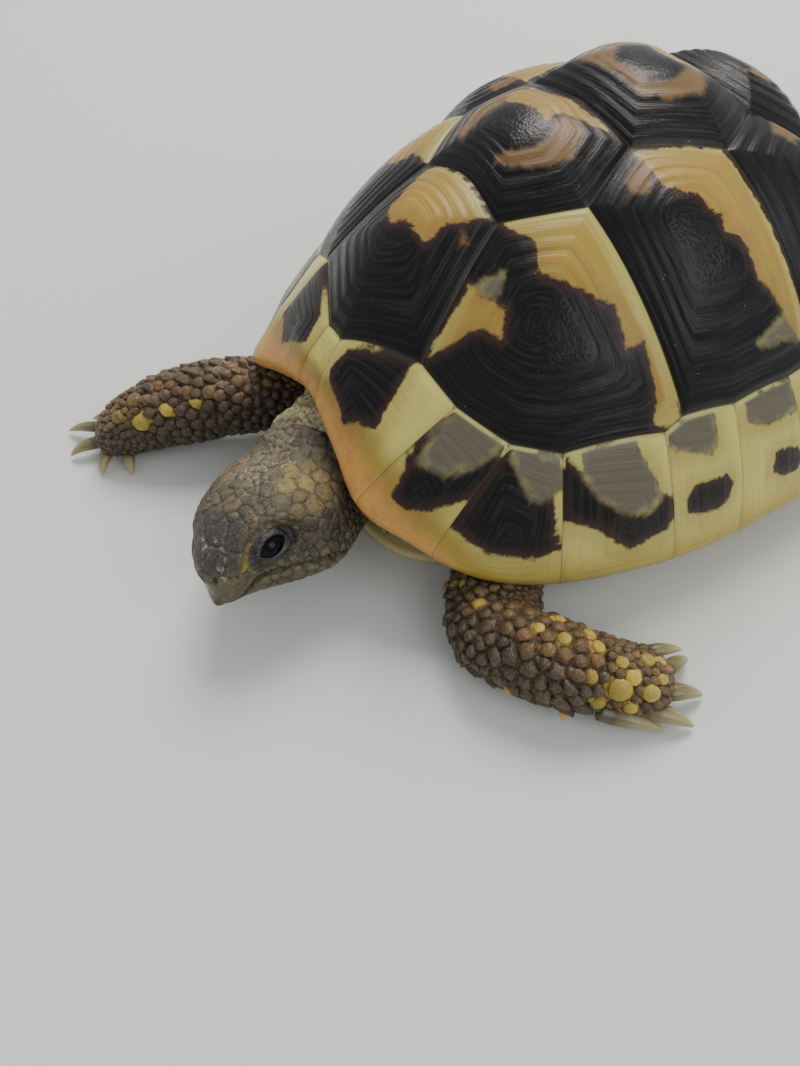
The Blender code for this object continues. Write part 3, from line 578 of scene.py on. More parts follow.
def plate(name, pattern, corners, hump, flip=False):
    """One plate with its rings, its markings and its skirt."""
    heart = np.array(HEARTS[pattern]) * (FLIP if flip else 1)
    outline = walk_round(corners, POINT_EVERY)
    count = len(outline)
    soft = heart + (rounded(outline, count / INNER_ROUNDING) - heart) * INNER_SIZE
    size = np.linalg.norm(dome(outline) - dome(heart), axis=-1)
    shares = np.concatenate([np.linspace(0.02, 0.9, RINGS_OUT), np.linspace(0.9, 1.0, RINGS_OUT // 4)[1:]])
    turn = np.arctan2(outline[:, 1] - heart[1], outline[:, 0] - heart[0])
    points, ring, spoke, places = [], [], [], []
    for share in shares:
        roundness = min(1.0, 1.5 * (1 - share))
        place = heart + share * ((1 - roundness) * outline + roundness * soft - heart)
        rise = hump * (1 - share ** HUMP_POWERS[0]) ** HUMP_POWERS[1]
        wave = WAVE_HEIGHT * np.sin(share * WAVE_COUNT + 0.6 * np.sin(2 * turn)) * smooth(share, 0.3, 0.5)
        points.append(lifted(place, rise + wave - seam_groove((1 - share) * size)))
        ring.append(np.full(count, share))
        spoke.append(np.stack([np.cos(turn), np.sin(turn), np.full(count, share)], -1))
        places.append(heart + min(share, FIELD_END) / share * (place - heart))
    points.append(lifted(outline, np.full(count, -PLATE_DEPTH)))
    ring.append(np.ones(count))
    spoke.append(spoke[-1])
    places.append(heart + FIELD_END * (outline - heart))
    faces = quad_rows(len(points), count, True) + [tuple(reversed(range(count)))]
    places, ring = np.concatenate(places), np.concatenate(ring)
    values = {"ring": ring, "spoke": np.concatenate(spoke), "fresh": np.zeros(len(ring)),
              "warm": 1.25 - 0.9 * smooth(ring, 0.62, 0.98)}
    for key, fields in (("yellow", YELLOW), ("brown", BROWN_FIELDS), ("grey", GREY_FIELDS)):
        values[key] = field(fields, pattern, places, flip)
    return make_piece(f"{name}_horn", np.concatenate(points), faces, plate_horn, values, [name])


# %% Make the big plates
horn_pieces = []
for i, (left, hump) in enumerate(zip(VERTEBRALS, HUMPS["vertebral"]), 1):
    horn_pieces.append(plate(f"vertebral_{i}", f"vertebral_{i}", left + mirrored(left), hump))
for i, (corners, hump) in enumerate(zip(COSTALS, HUMPS["costal"]), 1):
    horn_pieces.append(plate(f"costal_left_{i}", f"costal_{i}", corners, hump))
    pattern = "costal_right_1" if i == 1 else f"costal_{i}"
    horn_pieces.append(plate(f"costal_right_{i}", pattern, mirrored(corners), hump, True))
print("big plates:", len(horn_pieces), "points:", sum(len(p.data.vertices) for p in horn_pieces))

# %% [markdown]
# ## Marginal plates
#
# A marginal wraps round the rim: its outer face runs down from the costals, turns over a rounded lip,
# and its underside runs in to the soft body or, along the bridge, down to the belly plate. It is a grid
# of sections, with more rows where the lip turns.

# %% Marginal shape
LIP, LIP_INSET, SWELL = 1.5, 0.7, 0.5
HEART_ACROSS, HEART_DOWN, DOWN_END = 0.56, 0.70, 1.1
FREE_UNDERSIDE, BRIDGE_UNDERSIDE = 5.5, 8.0
BRIDGE_START, BRIDGE_END, BRIDGE_FADE, BRIDGE_FOOT = 55.0, 118.0, 7.0, 2.6
OUTER_ROWS, RIM_EVERY = ((34, 0.45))


def rim_out(angle):
    """Level outward normals of the rim."""
    ahead = dome(disk(angle + 0.5, 1)) - dome(disk(angle - 0.5, 1))
    out = np.stack([-ahead[..., 1], ahead[..., 0], 0 * ahead[..., 0]], -1)
    out = out / np.linalg.norm(out, axis=-1, keepdims=True)
    sign = np.sign((out * dome(disk(angle, 1))).sum(-1, keepdims=True))
    return out * sign


def bridge_share(angle, fade=BRIDGE_FADE):
    """1 along the bridge, 0 along the free rim."""
    a = np.abs((np.asarray(angle, float) + 180) % 360 - 180)
    return smooth(np.minimum((a - BRIDGE_START) / fade + 0.5, (BRIDGE_END - a) / fade + 0.5), 0, 1)


def inner_edge(angle):
    """Where the underside of the rim ends."""
    share = bridge_share(angle)
    rim = dome(disk(angle, 1))
    width = FREE_UNDERSIDE + (BRIDGE_UNDERSIDE - FREE_UNDERSIDE) * share
    point = rim - rim_out(angle) * width[..., None]
    point[..., 2] = rim[..., 2] + (BRIDGE_FOOT - rim[..., 2]) * share
    return point


def curve(a, b, c, share):
    """Quadratic curve from a to c, drawn towards b."""
    return (1 - share) ** 2 * a + 2 * share * (1 - share) * b + share ** 2 * c


# %% Make the marginals
def marginal(name, number, tops, first, last, flip=False, groove=False):
    """One rim plate between two angles."""
    run = np.concatenate([a + (b - a) * np.linspace(0, 1, 40, endpoint=False)[:, None]
                          for a, b in zip(tops, tops[1:])] + [np.array([tops[-1]])])
    steps = np.concatenate([[0], np.cumsum(np.linalg.norm(np.diff(dome(run), axis=0), axis=-1))])
    columns = max(6, int(steps[-1] / RIM_EVERY))
    along = np.linspace(0, 1, columns)
    top = np.stack([np.interp(along * steps[-1], steps, run[:, k]) for k in (0, 1)], -1)
    angle = first + (last - first) * along
    rim_place = disk(angle, 1)
    to_side = np.minimum(along, 1 - along) * steps[-1]
    side_groove = seam_groove(to_side, 0.5)
    if groove:
        side_groove = side_groove + 0.8 * SEAM_DROP * np.exp(-((along - 0.5) * steps[-1] / 0.4) ** 2)
    held = np.clip(along, 0.05, 0.95)
    top_read = np.stack([np.interp(held, along, top[:, k]) for k in (0, 1)], -1)
    rim_read = disk(first + (last - first) * held, 1)
    points, down, places = [], [], []

    def add_row(row, how_far, place):
        points.append(row)
        down.append(np.full(columns, how_far))
        places.append(place)

    for b in np.linspace(0, 1, OUTER_ROWS):
        place = top + (rim_place - top) * b
        swell = SWELL * np.interp(b, [0, 0.12, 0.55, 1.0], [0, 0.3, 1.0, 0.0]) * np.ones(columns)
        size = np.linalg.norm(dome(top) - dome(rim_place), axis=-1)
        add_row(lifted(place, swell - np.maximum(seam_groove(b * size), side_groove)), b,
                top_read + (rim_read - top_read) * max(b, 0.07))
    out = rim_out(angle)
    corner, fold = points[-1], points[-3]
    points, down, places = points[:-2], down[:-2], places[:-2]
    lip = dome(rim_place) - out * LIP_INSET
    lip[:, 2] -= LIP
    inner = inner_edge(angle)
    for share in np.linspace(0.12, 1, 9):
        add_row(curve(fold, corner, lip, share), 1.0 + 0.1 * share, rim_place)
    for share in np.linspace(0.1, 1, 8):
        add_row(curve(lip, lip - out * 1.4 - np.array([0, 0, 0.25]), inner, share), 1.1 + 0.4 * share,
                rim_place)
    add_row(lifted(top, np.full(columns, -PLATE_DEPTH)), 1.6, top)
    down, places = np.concatenate(down), np.concatenate(places)
    rows = len(points)
    across = np.tile(along, rows)
    heart = (1 - HEART_ACROSS if flip else HEART_ACROSS, HEART_DOWN)
    side = np.where(across < heart[0], (heart[0] - across) / heart[0], (across - heart[0]) / (1 - heart[0]))
    fall = np.where(down < heart[1], (heart[1] - down) / heart[1], (down - heart[1]) / (DOWN_END - heart[1]))
    ring = np.clip(np.maximum(side, fall), 0, 0.96 + 0.04 * (np.maximum(side, 1 - down / 0.03) > 0.97))
    turn = np.arctan2(down - heart[1], across - heart[0])
    blotch = field(BLOTCHES, number, places, flip)
    if number >= FIRST_REAR:
        height = float(np.linalg.norm(dome(top[columns // 2]) - dome(rim_place[columns // 2])))
        box = np.array([steps[-1], height])
        from_front = np.tile(1 - along if flip else along, len(down) // columns)
        from_front = np.minimum(from_front, 1 - from_front) * 1.3 if groove else from_front
        blotch = inside(np.stack([from_front, down], -1) * box, REAR_WEDGE * box)
    grey = np.where(down < 1, field(RIM_GREYS, number, places, flip), FAR_OUT)
    ground = np.where(down > 1.0, 6.0, -np.maximum(blotch, grey) - 0.35)
    values = {"ring": ring, "spoke": np.stack([np.cos(turn), np.sin(turn), ring], -1), "yellow": ground,
              "brown": np.full(len(down), FAR_OUT), "grey": np.minimum(grey + 0.5, -blotch + 0.2),
              "fresh": (down < 0.1) * float(number > 1),
              "warm": 0.2 + smooth(down, 0.70, 1.0) * 0.45 + smooth(down, 0.35, 0.9) * 1.5
              * smooth(-places[:, 1], 0.72, 0.92)}
    faces = quad_rows(rows, columns, False)
    return make_piece(f"{name}_horn", np.concatenate(points), flipped(faces) if flip else faces, rim_horn,
                      values, [name])


for i, tops in enumerate(MARGINAL_TOPS, 1):
    first, last = RIM_ANGLES[i - 1], RIM_ANGLES[i]
    horn_pieces.append(marginal(f"marginal_left_{i:02d}", i, tops, first, last))
    horn_pieces.append(marginal(f"marginal_right_{i:02d}", i, mirrored(tops), -last, -first, True))
horn_pieces.append(marginal("nuchal", 0, [NUCHAL_TOP * FLIP, NUCHAL_TOP], -RIM_ANGLES[0], RIM_ANGLES[0]))
horn_pieces.append(marginal("supracaudal", 12, [M11_TAIL, M11_TAIL * FLIP], RIM_ANGLES[-1],
                            360 - RIM_ANGLES[-1], groove=True))
print("all horn pieces:", len(horn_pieces), "points:", sum(len(p.data.vertices) for p in horn_pieces))

# %% [markdown]
# ## Soft body
#
# Legs, neck and tail are tubes that swell and narrow along a path. They are drawn as stations, each with
# its place, half width and half height, and an even curve runs through the stations. Later they are
# fused with the skull and the trunk into one skin, because a living skin has no seams where a leg joins
# the body.

# %% Stations of the limbs
LIMBS = {
    "foreleg_left": [
        (19.0, -26.0, 9.6, 6.0, 5.4), (26.0, -32.2, 7.3, 6.6, 4.2), (32.0, -38.0, 5.7, 7.0, 4.8),
        (37.4, -41.4, 6.0, 6.4, 5.6), (42.2, -39.8, 6.6, 5.9, 6.2), (47.0, -36.3, 6.2, 6.0, 5.7),
        (50.6, -31.9, 5.3, 5.7, 4.9), (53.2, -28.7, 4.2, 5.6, 4.1), (54.9, -26.4, 3.2, 4.6, 2.9)],
    "foreleg_right": [
        (-14.0, -28.0, 10.8, 6.2, 6.2), (-17.4, -38.0, 10.4, 6.8, 6.0), (-19.6, -48.5, 9.8, 6.8, 5.8),
        (-23.6, -57.0, 9.6, 6.6, 6.4), (-27.5, -64.3, 8.1, 6.4, 6.4), (-30.2, -70.2, 6.4, 5.9, 5.4),
        (-32.0, -73.6, 4.8, 5.6, 4.4), (-33.2, -76.2, 3.4, 4.5, 3.1)],
    "hindleg_left": [
        (14.0, 25.0, 9.6, 6.4, 5.4), (21.0, 32.6, 8.3, 7.2, 4.3), (27.4, 39.2, 5.3, 7.4, 3.9),
        (32.0, 42.4, 5.0, 6.8, 4.6), (35.8, 43.6, 4.2, 6.2, 4.2), (38.8, 43.4, 3.2, 5.0, 3.1)],
    "hindleg_right": [
        (-14.0, 25.0, 9.6, 6.4, 5.4), (-21.8, 31.6, 8.3, 7.2, 4.3), (-28.6, 37.0, 5.3, 7.4, 3.9),
        (-33.4, 39.6, 5.0, 6.8, 4.6), (-37.2, 40.0, 4.2, 6.2, 4.2), (-40.0, 39.2, 3.2, 5.0, 3.1)],
    "tail": [
        (0.0, 37.0, 9.5, 5.2, 4.4), (0.0, 43.0, 8.4, 4.8, 4.1), (0.6, 48.0, 6.4, 3.8, 3.2),
        (1.9, 52.0, 4.2, 2.7, 2.4), (3.6, 55.0, 2.7, 1.6, 1.5), (5.2, 57.0, 1.9, 0.7, 0.7)],
    "neck": [
        (0.0, -34.0, 15.5, 10.2, 9.2), (0.9, -41.5, 15.0, 10.0, 8.8), (2.4, -48.0, 13.8, 9.3, 8.2),
        (4.0, -52.6, 12.6, 10.6, 8.1)],
}
VOXEL = 0.25
PATH_STEP, COAT_DEPTH, CAP = 1.2, 0.35, 0.4


def even_curve(stations, every):
    """Catmull-Rom curve through the stations, with a point about every so many mm."""
    s = np.array(stations, float)
    s = np.concatenate([[2 * s[0] - s[1]], s, [2 * s[-1] - s[-2]]])
    out = []
    for a, b, c, d in zip(s, s[1:], s[2:], s[3:]):
        pieces = max(2, round(np.linalg.norm(c[:3] - b[:3]) / every))
        for t in np.arange(pieces) / pieces:
            out.append(0.5 * (2 * b + (c - a) * t + (2 * a - 5 * b + 4 * c - d) * t ** 2
                              + (3 * b - a - 3 * c + d) * t ** 3))
    out.append(s[-2])
    return np.array(out)


def along(path):
    """Unit direction at each point of a path, its level side and its upward normal."""
    ahead = np.gradient(path[:, :3], axis=0)
    ahead /= np.linalg.norm(ahead, axis=1, keepdims=True)
    side = np.cross(ahead, [0, 0, 1.0])
    side /= np.linalg.norm(side, axis=1, keepdims=True)
    return ahead, side, np.cross(side, ahead)


def tube(path, sides=28):
    """Points and faces of a closed tube, flattened where it would pass under the floor."""
    ahead, side, up = along(path)
    turn = once_round(sides)
    ring = (path[:, None, :3] + side[:, None] * (np.cos(turn)[None, :, None] * path[:, None, 3:4])
            + up[:, None] * (np.sin(turn)[None, :, None] * path[:, None, 4:5]))
    caps = np.array([path[0, :3] - ahead[0] * 0.5, path[-1, :3] + ahead[-1] * CAP * path[-1, 3]])
    points = np.concatenate([ring.reshape(-1, 3), caps])
    points[:, 2] = np.maximum(points[:, 2], 0.0)
    return points, pointed_rows(len(path), sides, True)


# Legs and tail are drawn a little thinner, to leave room for the scales that are added on them later.
PATHS = {name: even_curve(stations, PATH_STEP) for name, stations in LIMBS.items()}
for name, path in PATHS.items():
    if name != "neck":
        path[:, 3:] -= np.minimum(COAT_DEPTH, 0.3 * path[:, 3:])
PATHS["foreleg_left"][:, 3] -= 0.7 * smooth(np.linspace(0, 1, len(PATHS["foreleg_left"])), 0.7, 0.85)
print("paths:", {name: len(path) for name, path in PATHS.items()})

# %% [markdown]
# ## Head
#
# The head has a frame of its own: x to its left, y backwards, z up, with its origin at the back of the
# skull. It is turned, lifted and rolled against the body. In that frame the skull is a row of rounded
# sections, and later the brow, cheeks, beak, mouth and eyes are pushed into it as a sculptor would.

# %% Head sections
HEAD_PLACE = np.array([4.9, -54.2, 12.0])
HEAD_TURN = (Matrix.Rotation(math.radians(27.0), 3, "Z") @ Matrix.Rotation(math.radians(-8.0), 3, "X")
             @ Matrix.Rotation(math.radians(-15.0), 3, "Y"))
HEAD_AXES = np.array(HEAD_TURN)
SKULL = np.array([
    (-4.6, 11.4, 8.3, -8.2, 2.1), (-2.0, 11.6, 8.4, -8.4, 2.1), (0.0, 11.1, 7.9, -8.3, 2.2),
    (2.8, 11.2, 8.0, -8.4, 2.3), (6.0, 11.0, 8.1, -8.0, 2.4), (9.0, 10.0, 7.9, -7.3, 2.5),
    (12.0, 8.6, 7.3, -6.6, 2.6), (14.8, 7.0, 6.4, -6.0, 2.6), (17.2, 5.6, 5.2, -5.6, 2.5),
    (19.0, 4.2, 3.8, -5.2, 2.4), (20.1, 2.8, 2.3, -4.9, 2.3), (20.6, 1.4, 0.6, -4.2, 2.2)])


def to_head(points):
    """World points in the head's frame."""
    return (points - HEAD_PLACE) @ HEAD_AXES


def from_head(points):
    """Points of the head's frame in the world."""
    return points @ HEAD_AXES.T + HEAD_PLACE


def skull():
    """Points and faces of the closed skull."""
    sides = 36
    forward = np.concatenate([np.arange(-4.6, 19.4, 0.8), [19.6, 20.0, 20.3, 20.6]])
    turn = once_round(sides)
    rows = []
    for f in forward:
        wide, top, low, power = (np.interp(f, SKULL[:, 0], SKULL[:, k]) for k in (1, 2, 3, 4))
        c, s = np.cos(turn), np.sin(turn)
        x = wide * np.sign(c) * np.abs(c) ** (2 / power)
        z = 0.5 * (top + low) + 0.5 * (top - low) * np.sign(s) * np.abs(s) ** (2 / power)
        rows.append(np.stack([x, np.full(sides, -f), z], -1))
    points = np.concatenate(rows + [np.array([[0, 4.9, 0], [0, -20.9, -1.9]])])
    return from_head(points), pointed_rows(len(rows), sides)


skull_shell = skull()
print("skull reaches", np.round(skull_shell[0].min(0), 1), np.round(skull_shell[0].max(0), 1))

# %% [markdown]
# ## Trunk inside the shell
#
# Only a band of the trunk can be seen, through the openings for head and limbs. It runs from the belly
# plate up to the marginals and is hollowed at the openings, so that the legs come out of soft folds. A
# voxel remesh then fuses it with the limbs and the skull, and the part that nobody sees is cut away.

# %% Trunk
PLASTRON_FRONT, PLASTRON_BACK, LOBE_HALF_WIDTH, LOBE_POWER = 47.3, 45.3, 26.5, 3.5
PLASTRON_THICK, NOTCH_FADE = 2.3, 15.0
TRUNK_INSET, TRUNK_FOOT, TRUNK_TOP = 1.6, PLASTRON_THICK - 0.2, 46.0
HOLLOW, FRONT_HOLLOW = 2.6, 2.0


def belly_reach(angle):
    """Distance from the middle to the edge of the belly plate."""
    a = np.radians(angle)
    end = np.where(np.cos(a) > 0, PLASTRON_FRONT, PLASTRON_BACK)
    length, width = np.abs(np.cos(a) / end), np.abs(np.sin(a) / LOBE_HALF_WIDTH)
    lobe = (length ** LOBE_POWER + width ** LOBE_POWER) ** (-1 / LOBE_POWER)
    lobe = lobe * (1 - 0.055 * bell(np.abs(angle), 180, 9))
    bridge = np.linalg.norm(inner_edge(angle)[..., :2], axis=-1) + 0.8
    return lobe + (bridge - lobe) * bridge_share(angle, NOTCH_FADE)


def trunk_band():
    """Points and faces of the closed trunk."""
    angle = np.linspace(-180, 180, 120, endpoint=False)
    a = np.radians(angle)
    reach = belly_reach(angle) - TRUNK_INSET
    foot = np.stack([reach * np.sin(a), -reach * np.cos(a), np.full(len(a), TRUNK_FOOT)], -1)
    edge = inner_edge(angle)
    out = rim_out(angle)
    head = edge - out * 0.5
    head[:, 2] = np.maximum(edge[:, 2], 3.0) + 0.4
    rows = []
    for share in np.linspace(0, 1, 7):
        hollow = HOLLOW + FRONT_HOLLOW * (np.abs(angle) < 90)
        hollow = hollow * (1 - bridge_share(angle)) * math.sin(math.pi * share)
        rows.append(foot + (head - foot) * share - out * hollow[:, None])
    for t in (0.70, 0.54, 0.37):
        rows.append(lifted(disk(angle, t), np.full(len(angle), -2.0)))
    points = np.concatenate(rows + [np.array([[0, 0, TRUNK_FOOT], [0, 0, TRUNK_TOP]])])
    return points, pointed_rows(len(rows), len(angle))


# %% Fuse everything into one skin
def fused(shells, voxel):
    """One mesh round a number of closed shells."""
    mesh = bpy.data.meshes.new("flesh")
    points, faces = [], []
    for shell_points, shell_faces in shells:
        start = sum(len(p) for p in points)
        points.append(shell_points)
        faces += [tuple(start + i for i in f) for f in shell_faces]
    mesh.from_pydata((np.concatenate(points) * MM).tolist(), [], faces)
    bm = bmesh.new()
    bm.from_mesh(mesh)
    bmesh.ops.recalc_face_normals(bm, faces=bm.faces)
    bm.to_mesh(mesh)
    bm.free()
    obj = bpy.data.objects.new("flesh", mesh)
    model.objects.link(obj)
    remesh = obj.modifiers.new("fuse", "REMESH")
    remesh.mode, remesh.voxel_size = "VOXEL", voxel * MM
    result = bpy.data.meshes.new_from_object(obj.evaluated_get(bpy.context.evaluated_depsgraph_get()))
    bpy.data.objects.remove(obj)
    return result


def array_of(items, key, columns, kind=float):
    """Values of a mesh's points or edges as rows."""
    flat = np.empty(len(items) * columns, kind)
    items.foreach_get(key, flat)
    return flat.reshape(-1, columns)


def mesh_points(mesh):
    """Points of a mesh, in mm."""
    return array_of(mesh.vertices, "co", 3) / MM


def mesh_normals(mesh):
    """Outward normals at the points."""
    return array_of(mesh.vertex_normals, "vector", 3)


def set_points(mesh, points):
    """Put points, in mm, back into a mesh."""
    mesh.vertices.foreach_set("co", (points * MM).ravel())
    mesh.update()


def evened(values, pairs, rounds):
    """Values averaged with their neighbours' a number of times."""
    count = np.bincount(pairs.ravel(), minlength=len(values))
    for _ in range(rounds):
        total = np.zeros_like(values)
        np.add.at(total, pairs[:, 0], values[pairs[:, 1]])
        np.add.at(total, pairs[:, 1], values[pairs[:, 0]])
        values = 0.5 * values + 0.5 * (total.T / count).T
    return values


CORE_SHARE, CORE_HEIGHT = 0.66, 9
EVEN_ROUNDS = 14
flesh = fused([tube(path) for path in PATHS.values()] + [skull_shell, trunk_band()], VOXEL)
points = mesh_points(flesh)
core = np.hypot(points[:, 0] / HALF_WIDTH, points[:, 1] / HALF_LENGTH) < CORE_SHARE
hidden = core & (points[:, 2] > CORE_HEIGHT)
bm = bmesh.new()
bm.from_mesh(flesh)
bm.verts.ensure_lookup_table()
bmesh.ops.delete(bm, geom=[bm.verts[i] for i in np.flatnonzero(hidden)], context="VERTS")
bm.to_mesh(flesh)
bm.free()
pairs = array_of(flesh.edges, "vertices", 2, np.int32)
points = evened(mesh_points(flesh), pairs, EVEN_ROUNDS)
set_points(flesh, points)
print("skin points:", len(points))

# %% [markdown]
# ## Which limb is this?
#
# Every skin point needs to know its limb, how far along it lies and on which side, because scales grow
# in rows along a limb and change size towards the foot. The nearest path answers all three.

# %% Limb places
LIMB_REACH, HEAD_REACH, SKULL_BACK = 1.4, 1.35, -3.4
names = list(PATHS)
best = np.full(len(points), 9.0)
limb = np.full(len(points), -1)
share = np.zeros(len(points))
ahead = np.tile([0.0, 0.0, 1.0], (len(points), 1))
facing = np.zeros(len(points))
for index, name in enumerate(names):
    path = PATHS[name]
    ways, sides, ups = along(path)
    finder = finder_of(path[:, :3])
    low, high = path[:, :3].min(0) - 12, path[:, :3].max(0) + 12
    near = np.flatnonzero(((points > low) & (points < high)).all(1))
    found = np.array([finder.find(points[i])[1] for i in near])
    off = points[near] - path[found, :3]
    across, over = (off * sides[found]).sum(1), (off * ups[found]).sum(1)
    ratio = np.hypot(across / path[found, 3], over / path[found, 4])
    ratio = ratio + np.abs((off * ways[found]).sum(1)) / 12
    better = ratio < best[near]
    best[near[better]] = ratio[better]
    limb[near[better]] = index
    share[near[better]] = found[better] / (len(path) - 1)
    ahead[near[better]] = ways[found[better]]
    facing[near[better]] = np.degrees(np.arctan2(over, across))[better]
limb[best > LIMB_REACH] = -1
in_head = to_head(points)
forward = -in_head[:, 1]
wide, top, low, power = (np.interp(forward, SKULL[:, 0], SKULL[:, k]) for k in (1, 2, 3, 4))
middle_height = 0.5 * (top + low)
head_ratio = np.hypot(in_head[:, 0] / wide, (in_head[:, 2] - middle_height) / (0.5 * (top - low)))
is_head = (forward > SKULL_BACK) & (head_ratio < HEAD_REACH) & (points[:, 1] < -48)
is_head &= ~((limb == names.index("foreleg_right")) & (best < 1.2) & (head_ratio > 1.1))
limb[is_head] = len(names)
is_left_leg = limb == names.index("foreleg_left")
is_right_leg = limb == names.index("foreleg_right")
is_foreleg = is_left_leg | is_right_leg
is_hindleg = (limb == names.index("hindleg_left")) | (limb == names.index("hindleg_right"))
is_leg = is_foreleg | is_hindleg
is_tail = limb == names.index("tail")
is_neck = limb == names.index("neck")
is_trunk = limb == -1
print("points on the head:", int(is_head.sum()), "forelegs:", int(is_foreleg.sum()))

# %% [markdown]
# ## Shaping the head
#
# The face is sculpted by pushing points along their normals, each push a soft bump with a centre and a
# size in the head's frame. Hermann's tortoise has a blunt snout, a hooked horny beak, full cheeks over
# the jaw muscles, and eyes under a low brow with heavy lids.

# %% Sculpt the face
EYE_SPOT, EYE_RADIUS = np.array([5.45, -13.1, 1.5]), 2.5
EYE_SLANT = math.radians(4)
EYE_LONG, EYE_HIGH = 2.2, 1.28
SOCKET_DEPTH, LID_THICK, LID_BOW = 1.3, 0.42, 0.10

normals = mesh_normals(flesh)
push = np.zeros(len(points))
x, z = in_head[:, 0], in_head[:, 2]
mirror_x = np.abs(x)


def mound(f, side, height, size, amount):
    """Push a soft bump at both sides of the head."""
    distance = ((forward - f) / size[0]) ** 2 + ((mirror_x - side) / size[1]) ** 2
    distance = distance + ((z - height) / size[2]) ** 2
    return amount * np.exp(-distance)


# Brow, cheek, jaw, ear, top of the nose, beak, side of the snout; below them, the tip of the beak.
for mound_at in ((13.4, 5.6, 5.0, (3.0, 1.8, 1.3), 0.45), (6.5, 9.0, -5.2, (5.5, 4.0, 3.0), 1.25),
                 (12.5, 6.0, -5.6, (4.0, 3.0, 1.8), 0.45), (1.5, 10.5, 0.8, (2.0, 3.0, 1.8), -0.45),
                 (19.4, 0.0, 1.6, (1.6, 2.4, 1.8), 0.35), (19.8, 0.0, -2.4, (1.2, 3.4, 1.1), -0.35),
                 (17.0, 4.6, -0.2, (1.6, 1.6, 1.8), -0.30)):
    push += mound(*mound_at)
NOSTRIL_DEPTH = 0.9
nostril = mound(20.5, 1.25, -0.1, (1.2, 0.45, 0.40), 1.0)
push -= NOSTRIL_DEPTH * nostril
push += mound(20.4, 0.0, -4.6, (1.0, 1.0, 0.9), 0.55)
MOUTH = np.array([(-1.0, -5.0), (2.0, -4.8), (5.0, -4.2), (8.0, -3.2), (12.0, -2.2), (14.5, -1.6),
                  (16.2, -1.4), (17.4, -2.0), (18.6, -3.2), (19.6, -4.6), (21.0, -5.2)])
MOUTH_DEPTH, MOUTH_WIDTH = 1.0, 0.36
line = np.interp(forward, MOUTH[:, 0], MOUTH[:, 1])
off_line = z - line
on_side = smooth(forward, 3.0, 6.0) * smooth(mirror_x / wide, 0.25, 0.5)
on_side = np.maximum(on_side, smooth(forward, 18.5, 19.5)) * (z < 1.5)
push -= MOUTH_DEPTH * np.exp(-(off_line / MOUTH_WIDTH) ** 2) * on_side
push += 0.30 * np.exp(-((off_line - 0.8) / 0.5) ** 2) * on_side
push += -0.25 * smooth(-off_line, 0.3, 1.4) * on_side * smooth(forward, 8, 14)

# %% Open the eyes
eye_depth = np.zeros(len(points))
lid_share = np.zeros(len(points))
eyes = {}
for side, sign in (("left", 1.0), ("right", -1.0)):
    spot = EYE_SPOT * np.array([sign, 1, 1])
    outward = np.array([sign * 0.90, -0.26, 0.34])
    outward /= np.linalg.norm(outward)
    back = np.array([0, math.cos(EYE_SLANT), math.sin(EYE_SLANT)])
    back -= outward * (back @ outward)
    back /= np.linalg.norm(back)
    over = np.cross(outward, back)
    over *= np.sign(over[2])
    local = in_head - spot
    a, b, depth = local @ back, local @ over, local @ outward
    b = b + LID_BOW * a ** 2 / EYE_LONG - 0.1
    ring = np.hypot(a / EYE_LONG, b / EYE_HIGH)
    near = is_head & (depth > -1.0) & (ring < 3.2)
    ball = np.sqrt(np.maximum(EYE_RADIUS ** 2 - a ** 2 - b ** 2, 0.0))
    lid_surface = np.sqrt(np.maximum((EYE_RADIUS + LID_THICK) ** 2 - a ** 2 - b ** 2, 0.25))
    wanted = np.where(ring < 1.0, ball - SOCKET_DEPTH, lid_surface)
    weight = np.where(ring < 1.0, 1.0, 1 - smooth(ring, 1.0, 2.6))
    move = np.where(near, (wanted - depth) * weight, 0.0)
    in_head = in_head + move[:, None] * outward
    rim = np.exp(-((ring - 1.22) / 0.16) ** 2) * 0.12 - np.exp(-((ring - 1.62) / 0.10) ** 2) * 0.10
    rim = np.where(near, rim - np.exp(-((ring - 2.25) / 0.18) ** 2) * 0.25, 0)
    push += rim
    lid_share = np.maximum(lid_share, np.where(near, 1 - smooth(ring, 1.72, 1.86), 0))
    eye_depth = np.maximum(eye_depth, np.where(near, 1 - smooth(ring, 0.92, 1.05), 0))
    eyes[side] = (spot, outward, back, over)
points = np.where(is_head[:, None], from_head(in_head), points)
points = points + normals * (push * is_head)[:, None]
set_points(flesh, points)
print("deepest push on the face:", round(float(push.min()), 2), "mm")

# %% [markdown]
# ## Folds of skin
#
# Bare skin folds where it is pushed together: across the neck behind the skull, in the crook of the
# elbow and at the wrist. The folds are waves along the limb, bent by noise so that none is straight.

# %% Fold the skin
bend = np.array([perlin.noise(Vector(p) * 0.16) for p in points])
fine_bend = np.array([perlin.noise(Vector(p) * 0.55) for p in points])
neck_place = in_head[:, 1]
fold = np.sin(neck_place * 1.9 + bend * 7.0) * smooth(neck_place, 4.5, 6.5) * is_neck
fold_depth = 0.22 * fold
collar = (is_neck | is_head) * smooth(in_head[:, 2], -6, -2)
fold_depth = fold_depth + collar * (0.60 * bell(neck_place, 5.4, 1.2) - 0.80 * bell(neck_place, 3.5, 0.42))
elbow = np.where(is_left_leg, bell(share, 0.36, 0.12), 0) + np.where(is_right_leg, bell(share, 0.22, 0.14), 0)
fold_depth = fold_depth + 0.22 * elbow * np.sin(share * 95 + bend * 9)
round_body = np.arctan2(points[:, 1], points[:, 0])
trunk_fold = np.sin(points[:, 2] * 1.7 + bend * 10 + round_body * 5)
fold_depth = fold_depth + np.where(is_trunk, 0.45 * trunk_fold, 0)
crease = is_left_leg * bell(share + 0.0004 * (facing - 80), 0.785, 0.012) * bell(facing, 85, 55)
fold_depth = fold_depth - 0.75 * crease
